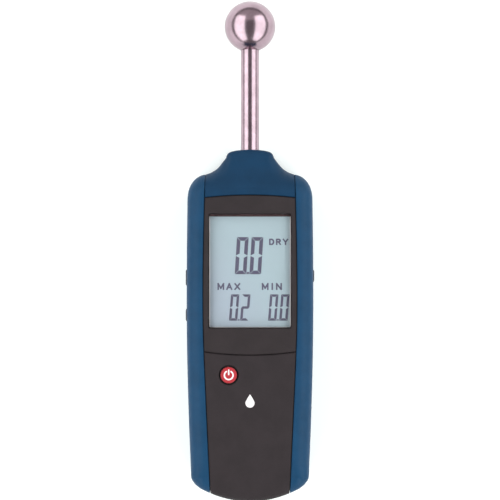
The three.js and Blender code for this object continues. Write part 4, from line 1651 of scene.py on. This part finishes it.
@dataclass
class Readout:
    """One seven-segment number on the display, in millimetres."""

    name: str
    text: str
    foot: Point
    height: float
    width: float
    pitch: float
    stroke: float
    slant: float

    SEGMENTS = {"0": "abcdef", "2": "abged"}

    def build(self, level: float) -> bpy.types.Object:
        """Builds the number as one mesh of thin plates.

        Args:
            level: The height of the prints' lower face.

        Returns:
            The number.
        """
        lean = math.tan(math.radians(self.slant))
        left, foot = self.foot
        point = self.stroke * 0.62
        plates = []
        for letter in self.text:
            if letter == ".":
                start = left - (self.pitch - self.width + point) / 2
                plates.append(rounded((start, foot), (start + point, foot + point), 0.05, 1))
                continue
            plates += self.digit(letter, left)
            left += self.pitch
        pieces = []
        for plate in plates:
            leaned = [(x + (y - foot) * lean, y) for x, y in plate]
            pieces.append(prism(self.name, leaned, level, level + PRINT))
        return joined(self.name, pieces)

    def digit(self, letter: str, left: float) -> list[Outline]:
        """The plates of one digit.

        Args:
            letter: The digit.
            left: Its left edge at the foot.

        Returns:
            An outline for each segment.
        """
        s, half, gap = self.stroke, self.stroke / 2, self.stroke * 0.07
        low, high = self.foot[1], self.foot[1] + self.height
        right, middle = left + self.width, (low + high) / 2

        def flat(y: float, up: float) -> Outline:
            """A top or bottom segment with mitred ends."""
            inner = y - up * s
            return [(left + gap, y), (right - gap, y), (right - s - gap, inner), (left + s + gap, inner)]

        def upright(x: float, inward: float, outer: float, up: float) -> Outline:
            """A side segment, its outer end mitred and its inner end cut to the middle one.

            Args:
                x: Its outer side.
                inward: 1 where the digit lies to its right, -1 to its left.
                outer: The height of its outer end.
                up: 1 for an upper segment, -1 for a lower one.

            Returns:
                The segment's points.
            """
            inner = x + inward * s
            return [(x, outer - up * gap), (inner, outer - up * (s + gap)),
                    (inner, middle + up * (half + gap)), (x, middle + up * gap)]

        def bar() -> Outline:
            """The middle segment, pointed at both ends.

            Returns:
                The segment's points.
            """
            tips = [(left + gap * 2, 0), (left + half + gap, half), (right - half - gap, half),
                    (right - gap * 2, 0), (right - half - gap, -half), (left + half + gap, -half)]
            return [(x, middle + y) for x, y in tips]

        shapes = {
            "a": flat(high, 1),
            "d": flat(low, -1),
            "g": bar(),
            "f": upright(left, 1, high, 1),
            "b": upright(right, -1, high, 1),
            "e": upright(left, 1, low, -1),
            "c": upright(right, -1, low, -1),
        }
        return [shapes[segment] for segment in self.SEGMENTS[letter]]


def joined(name: str, pieces: list[bpy.types.Object]) -> bpy.types.Object:
    """Several meshes as one object.

    Args:
        name: The object's name.
        pieces: The objects to join.

    Returns:
        The joined object.
    """
    deselect()
    for piece in pieces:
        piece.select_set(True)
    bpy.context.view_layer.objects.active = pieces[0]
    bpy.ops.object.join()
    whole = bpy.context.object
    whole.name = name
    return whole


BOW = arc((0.5, 0.5), 0.5, 90, -90, 6)
SMALL_BOW = [(0.05 + x * 0.9, 0.5 + y / 2) for x, y in BOW]
LETTERS: dict[str, tuple[float, list[Outline]]] = {
    "A": (0.85, [[(0.0, 0.0), (0.5, 1.0), (1.0, 0.0)], [(0.2, 0.33), (0.8, 0.33)]]),
    "D": (0.75, [[(0.0, 0.0), (0.0, 1.0), *BOW, (0.0, 0.0)]]),
    "I": (0.05, [[(0.5, 0.0), (0.5, 1.0)]]),
    "M": (0.95, [[(0.0, 0.0), (0.0, 1.0), (0.5, 0.2), (1.0, 1.0), (1.0, 0.0)]]),
    "N": (0.8, [[(0.0, 0.0), (0.0, 1.0), (1.0, 0.0), (1.0, 1.0)]]),
    "R": (0.72, [[(0.0, 0.0), (0.0, 1.0), *SMALL_BOW, (0.0, 0.5)], [(0.55, 0.5), (1.0, 0.0)]]),
    "X": (0.82, [[(0.0, 0.0), (1.0, 1.0)], [(0.0, 1.0), (1.0, 0.0)]]),
    "Y": (0.85, [[(0.0, 1.0), (0.5, 0.45), (1.0, 1.0)], [(0.5, 0.45), (0.5, 0.0)]]),
}


@dataclass
class Display:
    """The lens, and what the display shows, in millimetres."""

    readouts: list[Readout] = field(default_factory=lambda: [
        Readout("main_reading", "0.0", (-7.15, -11.3), 17.3, 5.45, 6.85, 1.7, 3.6),
        Readout("max_reading", "0.2", (-9.85, -33.0), 12.3, 3.9, 5.2, 1.15, 4.6),
        Readout("min_reading", "0.0", (8.4, -33.0), 12.3, 3.9, 5.2, 1.15, 4.6),
    ])
    legends: tuple[tuple[str, str, float, float, float, float], ...] = (
        ("dry_legend", "DRY", 8.9, 17.9, 2.3, 5.3),
        ("max_legend", "MAX", -15.2, -4.5, -18.7, -15.4),
        ("min_legend", "MIN", 5.5, 14.9, -18.7, -15.4),
    )
    letter_stroke: float = 0.72
    # The width of the painted highlight down the display's sides, and of the painted shadow along its top.
    painted_highlight_width: float = 0.42
    painted_shadow_width: float = 1.0

    def build(self) -> None:
        """Builds the lens, the numbers, the legends and the painted highlight and shadow at the display's
        edges.
        """
        level = span("lcd_glass")[1].z + PRINT_GAP
        for readout in self.readouts:
            finish_piece(readout.build(level), "meter", "lcd_face", printed="display_ink")
        for name, words, left, right, low, high in self.legends:
            legend = self.legend(name, words, (left, low), (right, high), level)
            finish_piece(legend, "meter", "lcd_face", printed="display_ink")
        self.painted_edge_light(level)
        low, high = span("display_lens")
        lens = prism("window_lens", rounded((low.x, low.y), (high.x, high.y), 0.8), low.z, high.z)
        soften(lens, 0.12)
        finish_piece(lens, "meter", "clear_lens", "display_lens")

    def painted_edge_light(self, level: float) -> None:
        """A painted highlight down the display's sides and foot, and a painted shadow along its top, as thin
        plates.

        Args:
            level: The height of the prints' lower face.
        """
        half, foot, top = Housing.view_half, Housing.view_bottom, Housing.view_top
        line, shadow_foot = self.painted_highlight_width, top - self.painted_shadow_width

        def plate(low: Point, high: Point) -> bpy.types.Object:
            """A thin plate between two corners."""
            return block("display_painted_light", (*low, level), (*high, level + PRINT))

        # Painted highlight: pale plates down the display's sides and along its foot.
        rim = joined("display_painted_highlight", [
            plate((-half, foot), (line - half, shadow_foot)),
            plate((half - line, foot), (half, shadow_foot)),
            plate((line - half, foot), (half - line, foot + line / 2)),
        ])
        finish_piece(rim, "meter", "lcd_face", printed="pale_print_and_painted_highlight")
        # Painted shadow: a dark plate along the display's top edge.
        finish_piece(plate((-half, shadow_foot), (half, top)), "meter", "lcd_face", printed="painted_top_shadow")

    def legend(self, name: str, words: str, low: Point, high: Point, level: float) -> bpy.types.Object:
        """A generic legend in plain block letters, fitted into a box.

        Args:
            name: The object's name.
            words: What it says.
            low: The box's lowest corner.
            high: The box's highest corner.
            level: The height of the prints' lower face.

        Returns:
            The legend.
        """
        half = self.letter_stroke / 2
        tall = high[1] - low[1] - 2 * half
        room = high[0] - low[0] - sum(LETTERS[letter][0] * tall + 2 * half for letter in words)
        space = room / (len(words) - 1)
        left, foot = low[0] + half, low[1] + half
        pieces = []
        for letter in words:
            share, lines = LETTERS[letter]
            wide = share * tall
            strokes = [[(left + x * wide, foot + y * tall) for x, y in line] for line in lines]
            legs = [leg for line in strokes for leg in zip(line, line[1:])]
            shapes = [self.leg(name, a, b, half, level) for a, b in legs]
            pieces.append(combine(shapes[0], Cut.JOIN, *shapes[1:]))
            left += wide + 2 * half + space
        return joined(name, pieces)

    @staticmethod
    def leg(name: str, start: Point, end: Point, half: float, level: float) -> bpy.types.Object:
        """One straight stroke of a letter, as a thin plate.

        Args:
            name: The object's name.
            start: Where the stroke starts.
            end: Where it ends.
            half: Half of its width.
            level: The height of its lower face.

        Returns:
            The plate.
        """
        along = (Vector(end) - Vector(start)).normalized() * half
        across = Vector((-along.y, along.x))
        a, b = Vector(start) - along * 0.9, Vector(end) + along * 0.9
        corners = [tuple(a - across), tuple(b - across), tuple(b + across), tuple(a + across)]
        return prism(name, corners, level, level + PRINT)


# ---------------------------------------------------------------------------------------
# Controls, probe, fasteners and battery
# ---------------------------------------------------------------------------------------


@dataclass
class PowerButton:
    """The round power button with its printed symbol, in millimetres."""

    radius: float = 3.8
    edge: float = 0.55
    skirt_height: float = 0.8
    skirt_edge: float = 0.1
    ring_outer: float = 2.35
    ring_line: float = 0.66
    ring_gap: float = 25.0
    bar_half: float = 0.33
    bar_low: float = 0.0
    bar_high: float = 2.75

    def build(self) -> None:
        """Builds the cap, a black skirt that paints shade into the gap round it, and the symbol, all riding
        on the button's body.
        """
        low, high = span("power_button")
        centre = ((low.x + high.x) / 2, (low.y + high.y) / 2)
        flange = (high.x - low.x) / 2
        shoulder = low.z + self.skirt_height
        top = high.z
        crown = arc((self.radius - self.edge, top - self.edge), self.edge, 0, 90, 6)
        profile = [(0.0, shoulder), (self.radius, shoulder), *crown, (0.0, top)]
        cap = turned("power_cap", profile, (*centre, 0), Axis.Z, 72)
        finish_piece(cap, "power_control", "red_button", "power_button")
        # Painted shade: the skirt takes black plastic in place of the button's red, so the gap round the cap
        # shows as a dark shaded ring.
        rim = [(0.0, low.z), (flange, low.z), (flange, shoulder - self.skirt_edge),
               (flange - self.skirt_edge, shoulder), (0.0, shoulder)]
        shade_skirt = turned("power_skirt_painted_shade", rim, (*centre, 0), Axis.Z, 72)
        finish_piece(shade_skirt, "power_control", "black_plastic")
        symbol = joined("power_symbol", self.symbol(centre, top + PRINT_GAP))
        finish_piece(symbol, "power_control", "white_plastic", printed="pale_print_and_painted_highlight")

    def symbol(self, centre: Point, level: float) -> list[bpy.types.Object]:
        """The open ring and the bar, as thin plates.

        Args:
            centre: The button's middle.
            level: The height of the plates' lower face.

        Returns:
            The two plates.
        """
        x, y = centre
        inner = self.ring_outer - self.ring_line
        start, end = 90 + self.ring_gap, 450 - self.ring_gap
        outline = arc(centre, self.ring_outer, start, end, 36) + arc(centre, inner, end, start, 36)
        bar = rounded((x - self.bar_half, y + self.bar_low), (x + self.bar_half, y + self.bar_high),
                      self.bar_half * 0.98, 4)
        return [prism("ring", outline, level, level + PRINT), prism("bar", bar, level, level + PRINT)]


@dataclass
class SideKeys:
    """The three keys on the sides, in millimetres."""

    flange_thickness: float = 1.2
    cap_foot: float = 0.4
    cap_round: float = 0.5

    def build(self) -> None:
        """Builds each key as a rounded cap on its flange."""
        for key in SIDE_KEYS:
            low, high = span(f"{key.name}_key")
            out, inside = (high.x, low.x) if key.side is Side.RIGHT else (-low.x, -high.x)
            plunger_low, plunger_high = span(f"{key.name}_plunger")
            level = (plunger_low.z + plunger_high.z) / 2
            radius, reach = key.height / 2, key.length / 2
            outline = rounded((key.y - reach, level - radius), (key.y + reach, level + radius),
                              radius - 0.2, 8)
            pad = key.along(f"{key.name}_pad", outline, inside + self.cap_foot, out)
            cap = soften(pad, self.cap_round, 4)
            flange = key.along("flange", rounded((low.y, low.z), (high.y, high.z), 0.4, 3),
                               inside, inside + self.flange_thickness)
            combine(cap, Cut.JOIN, flange)
            finish_piece(cap, f"{key.name}_control", "key_rubber", f"{key.name}_key")


@dataclass
class Probe:
    """The ball and its stem, turned in steel, in millimetres."""

    ball_radius: float = 12.0
    stem_radius: float = 4.3
    stud_radius: float = 3.0
    ball_stud: float = 2.5
    stud_depth: float = 6.0
    shoulder_y: float = 41.0
    seat_depth: float = 0.9
    chamfer: float = 0.4

    def build(self) -> None:
        """Builds the ball with its socket and the stem with its threaded ends."""
        low, high = span("sensor_ball")
        centre_y = high.y - self.ball_radius
        middle = (low.z + high.z) / 2
        meet = math.degrees(math.asin((self.stem_radius + GAP) / self.ball_radius))
        seat = centre_y - math.sqrt(self.ball_radius ** 2 - self.stem_radius ** 2) + self.seat_depth
        stud_top = seat + self.stud_depth
        curve = arc((0.0, centre_y), self.ball_radius, meet - 90, 90, 72)
        stud = self.ball_stud + GAP
        bore = [(0.0, stud_top + GAP), (stud, stud_top + GAP), (stud, seat + GAP),
                (self.stem_radius + GAP, seat + GAP)]
        ball = turned("probe_ball", bore + curve, (0, 0, middle), Axis.Y, 128)
        finish_piece(ball, "meter", "polished_steel", "sensor_ball")
        end = span("sensor_rod")[0].y
        profile = [(0.0, end), (self.stud_radius - self.chamfer, end),
                   (self.stud_radius, end + self.chamfer),
                   (self.stud_radius, self.shoulder_y), (self.stem_radius, self.shoulder_y),
                   (self.stem_radius, seat), (self.ball_stud, seat), (self.ball_stud, stud_top),
                   (0.0, stud_top)]
        stem = turned("probe_stem", profile, (0, 0, middle), Axis.Y, 96)
        finish_piece(stem, "meter", "polished_steel", "sensor_rod")


@dataclass
class CaseScrews:
    """The four case screws with their cross recesses, in millimetres."""

    count: int = 4
    head_radius: float = Housing.screw_head
    head_height: float = 1.8
    head_crown: float = 0.75
    shank_radius: float = Housing.screw_shank
    slot_half: float = 0.38
    slot_arm: float = 1.6
    slot_depth: float = 0.9

    def build(self) -> None:
        """Builds each screw as a domed head on a shank."""
        for index in range(1, self.count + 1):
            node = f"case_screw_{index}"
            low, high = span(node)
            x, y = (low.x + high.x) / 2, (low.y + high.y) / 2
            face = low.z
            dome = [(self.head_radius * math.sin(a), face + self.head_crown * (1 - math.cos(a)))
                    for a in (math.radians(90 * k / 8) for k in range(9))]
            seat = face + self.head_height
            profile = [*dome, (self.head_radius, seat), (self.shank_radius, seat),
                       (self.shank_radius, high.z - 1), (0.4, high.z), (0.0, high.z)]
            screw = turned(f"{node}_detail", profile, (x, y, 0), Axis.Z, 40)
            arm, half = self.slot_arm, self.slot_half
            for along, across in ((arm, half), (half, arm)):
                slot = block("slot", (x - along, y - across, face - 1),
                             (x + along, y + across, face + self.slot_depth))
                combine(screw, Cut.AWAY, slot)
            finish_piece(screw, "meter", "zinc_steel", node)


@dataclass
class Battery:
    """The 9 V block, with rolled ends, in millimetres."""

    corner: float = 2.0
    rolled_edge: float = 0.9
    recess: float = 0.5
    edge_round: float = 0.25

    def build(self) -> None:
        """Builds the jacket and sinks its two end plates."""
        low, high = span("battery")
        outline = rounded((low.x, low.z), (high.x, high.z), self.corner, 6)
        cell = prism("battery_block", outline, low.y, high.y, Axis.Y)
        for face in cell.data.polygons:
            face.select = abs(face.normal.y) > 0.9
        with editing(cell, all_selected=False):
            bpy.ops.mesh.inset(thickness=self.rolled_edge * MM, depth=0)
            bpy.ops.mesh.inset(thickness=self.edge_round * MM, depth=-self.recess * MM)
        soften(cell, self.edge_round, 3)
        finish_piece(cell, "meter", "battery_jacket", "battery")


@dataclass
class Mark:
    """A plain droplet printed on the front, in millimetres."""

    centre: Point = (0.0, -71.2)
    radius: float = 2.1
    tip: float = 4.1

    def build(self) -> None:
        """Builds the droplet as a thin plate on the front case."""
        level = span("front_case")[1].z + PRINT_GAP
        x, y = self.centre
        bowl = arc(self.centre, self.radius, 150, 390, 28)
        across, along = self.radius * 0.55, self.radius * 1.15
        right = bezier([bowl[-1], (x + across, y + along), (x, y + self.tip)], 8)
        left = bezier([(x, y + self.tip), (x - across, y + along), bowl[0]], 8)
        drop = prism("droplet_mark", bowl + right + left[:-1], level, level + PRINT)
        finish_piece(drop, "meter", "white_plastic", printed="pale_print_and_painted_highlight")


@dataclass
class InnerParts:
    """The CAD nodes that stay as they are, dressed by the slot that the record gives them."""

    def build(self) -> None:
        """Gives every CAD node that is still shown its slot's material."""
        for entry in frame["record"]["subparts"]:
            thing = frame["nodes"][entry["node"]]
            if thing.hide_render:
                continue
            thing.data.materials.clear()
            thing.data.materials.append(FINISHES[entry["material_slot"]].material())
            log.info("%s keeps its CAD shape in %s", thing.name, entry["material_slot"])


def main() -> None:
    """Builds the studio and the meter."""
    logging.basicConfig(level=logging.INFO, format="%(name)s: %(message)s")
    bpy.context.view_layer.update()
    Studio().build()
    form = CaseForm()
    assemblies = [Housing(form), BatteryDoor(form), Display(), PowerButton(), SideKeys(), Probe(),
                  CaseScrews(), Battery(), Mark(), InnerParts()]
    for assembly in assemblies:
        assembly.build()
        log.info("%s is built", type(assembly).__name__)


if __name__ == "__main__":
    main()
